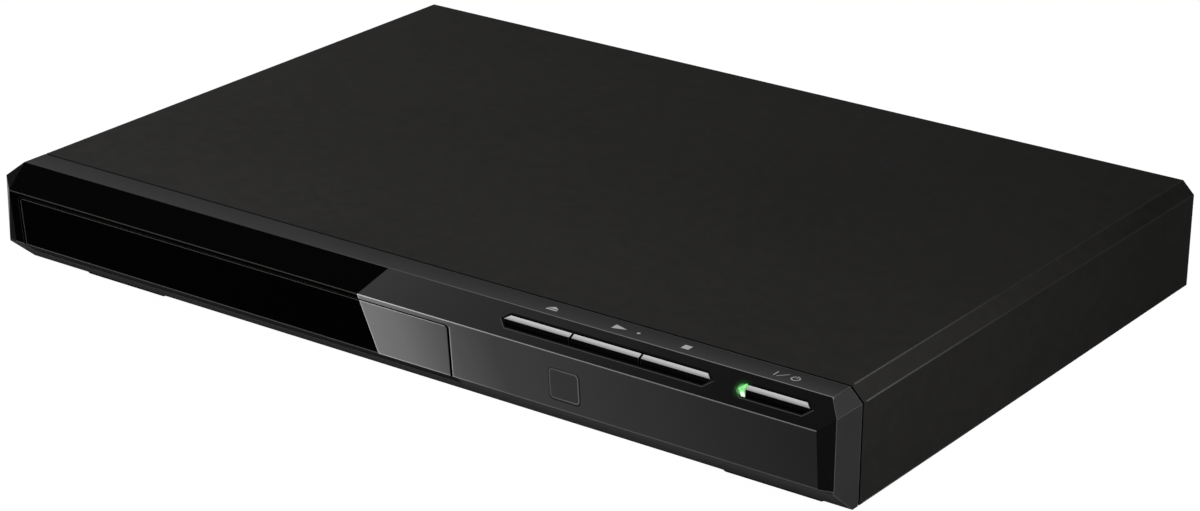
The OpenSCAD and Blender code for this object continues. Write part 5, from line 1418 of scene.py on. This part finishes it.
# Painted highlights on the bends and edges, strongest near the front.
edge_glint = paint.rim(0.0008) * (towards_front * 0.8 + 0.1) * (y > SEAM_Y + 0.0022)
lit_coat = paint.blend(tone, grey(30, 0.6), grey(49, 0.8))
shaded_coat = paint.blend(tone, grey(17, 0.6), grey(33, 0.8))
cover_colour = paint.blend(towards_rear, lit_coat, shaded_coat)
# Painted light: the slanting bends at the front left are paler.
lit_bends = slanting(paint.facing()[0]) * (1.0 - towards_rear)
cover_colour = paint.blend(lit_bends * 0.3, cover_colour, grey(74, 1.0))
cover_colour = paint.blend(edge_glint, cover_colour, grey(116, 1.0))
# Painted shadow in the gap at the front, where the cover meets the frame.
cover_colour = paint.blend(y < SEAM_Y + 0.0008, cover_colour, seam_shadow(paint, x))
wear(paint.finish(cover_colour, 0.55 + drift * 0.12, specular=0.003, height=pebble * -0.8 + drift * 0.5,
                  depth=0.00012, edge=0.0004), "top_cover")


# ---------------------------------------------------------------- floor, light and camera
# A plain pale floor under one broad soft light from the left, a long strip light in front and an
# even sky. The camera looks down at the front from the right.
FLOOR_HALF, SKY_LEVEL, WHITE = 6, 0.36, (1.0, 1.0, 1.0, 1.0)


def in_sight(paint):
    """1 for rays from the camera, off gloss and through glass, and 0 for those that light a matte face."""
    camera, glossy, through = (paint.node("ShaderNodeLightPath", {}, output=f"Is {kind} Ray")
                               for kind in ("Camera", "Glossy", "Transmission"))
    return (camera + glossy + through).clamped()


paint = Paint(bpy.data.materials.new("pale_floor"))
pale = paint.coat(grey(215), 0.8, specular=0.0)
white = paint.node("ShaderNodeEmission", {}, WHITE, 1.04)
floor_mesh = bpy.data.meshes.new("floor")
corners = [(FLOOR_HALF * u, FLOOR_HALF * v, 0) for u, v in ((-1, -1), (1, -1), (1, 1), (-1, 1))]
floor_mesh.from_pydata(corners, [], [(0, 1, 2, 3)])
floor_mesh.materials.append(paint.done(paint.mix(in_sight(paint) * 0.95, pale, white)))
floor = bpy.data.objects.new("floor", floor_mesh)
bpy.context.scene.collection.objects.link(floor)

sky = Paint(bpy.data.worlds.new("studio"))
bpy.context.scene.world = sky.owner
strength = in_sight(sky) * (1.0 - SKY_LEVEL) + SKY_LEVEL
sky.node("ShaderNodeOutputWorld", {}, sky.node("ShaderNodeBackground", {}, WHITE, strength))


def soft_light(name, place, target, width, height, watts):
    """A rectangular lamp at place that faces target."""
    data = bpy.data.lights.new(name, "AREA")
    data.shape, data.size, data.size_y, data.energy = "RECTANGLE", width, height, watts
    lamp = bpy.data.objects.new(name, data)
    lamp.location = place
    lamp.rotation_euler = (Vector(target) - Vector(place)).to_track_quat("-Z", "Y").to_euler()
    bpy.context.scene.collection.objects.link(lamp)


soft_light("overhead", (-0.85, -0.35, 0.75), (0, 0, 0.03), 0.9, 0.9, 10.0)
soft_light("front_strip", (-0.6, -1.5, 0.5), (0, -0.1, 0.03), 1.2, 0.25, 7.0)
soft_light("right_fill", (1.5, -0.4, 0.7), (0.1, 0, 0.03), 0.8, 0.8, 14.0)

camera_data = bpy.data.cameras.new("camera")
camera_data.sensor_width = 36.0
camera_data.lens = 99.7295
camera_data.clip_start, camera_data.clip_end = 0.01, 30.0
camera = bpy.data.objects.new("camera", camera_data)
to_right = (0.81258749, 0.58273475, 0.01103605)
to_top = (-0.22486600, 0.29598029, 0.92834851)
to_back = (0.53771448, -0.75684601, 0.37154711)
camera_at = (0.5905293, -0.8322775, 0.4175697)
camera.matrix_world = Matrix((*zip(to_right, to_top, to_back, camera_at), (0, 0, 0, 1)))
bpy.context.scene.collection.objects.link(camera)
bpy.context.scene.camera = camera
bpy.context.scene.view_settings.view_transform = "Standard"
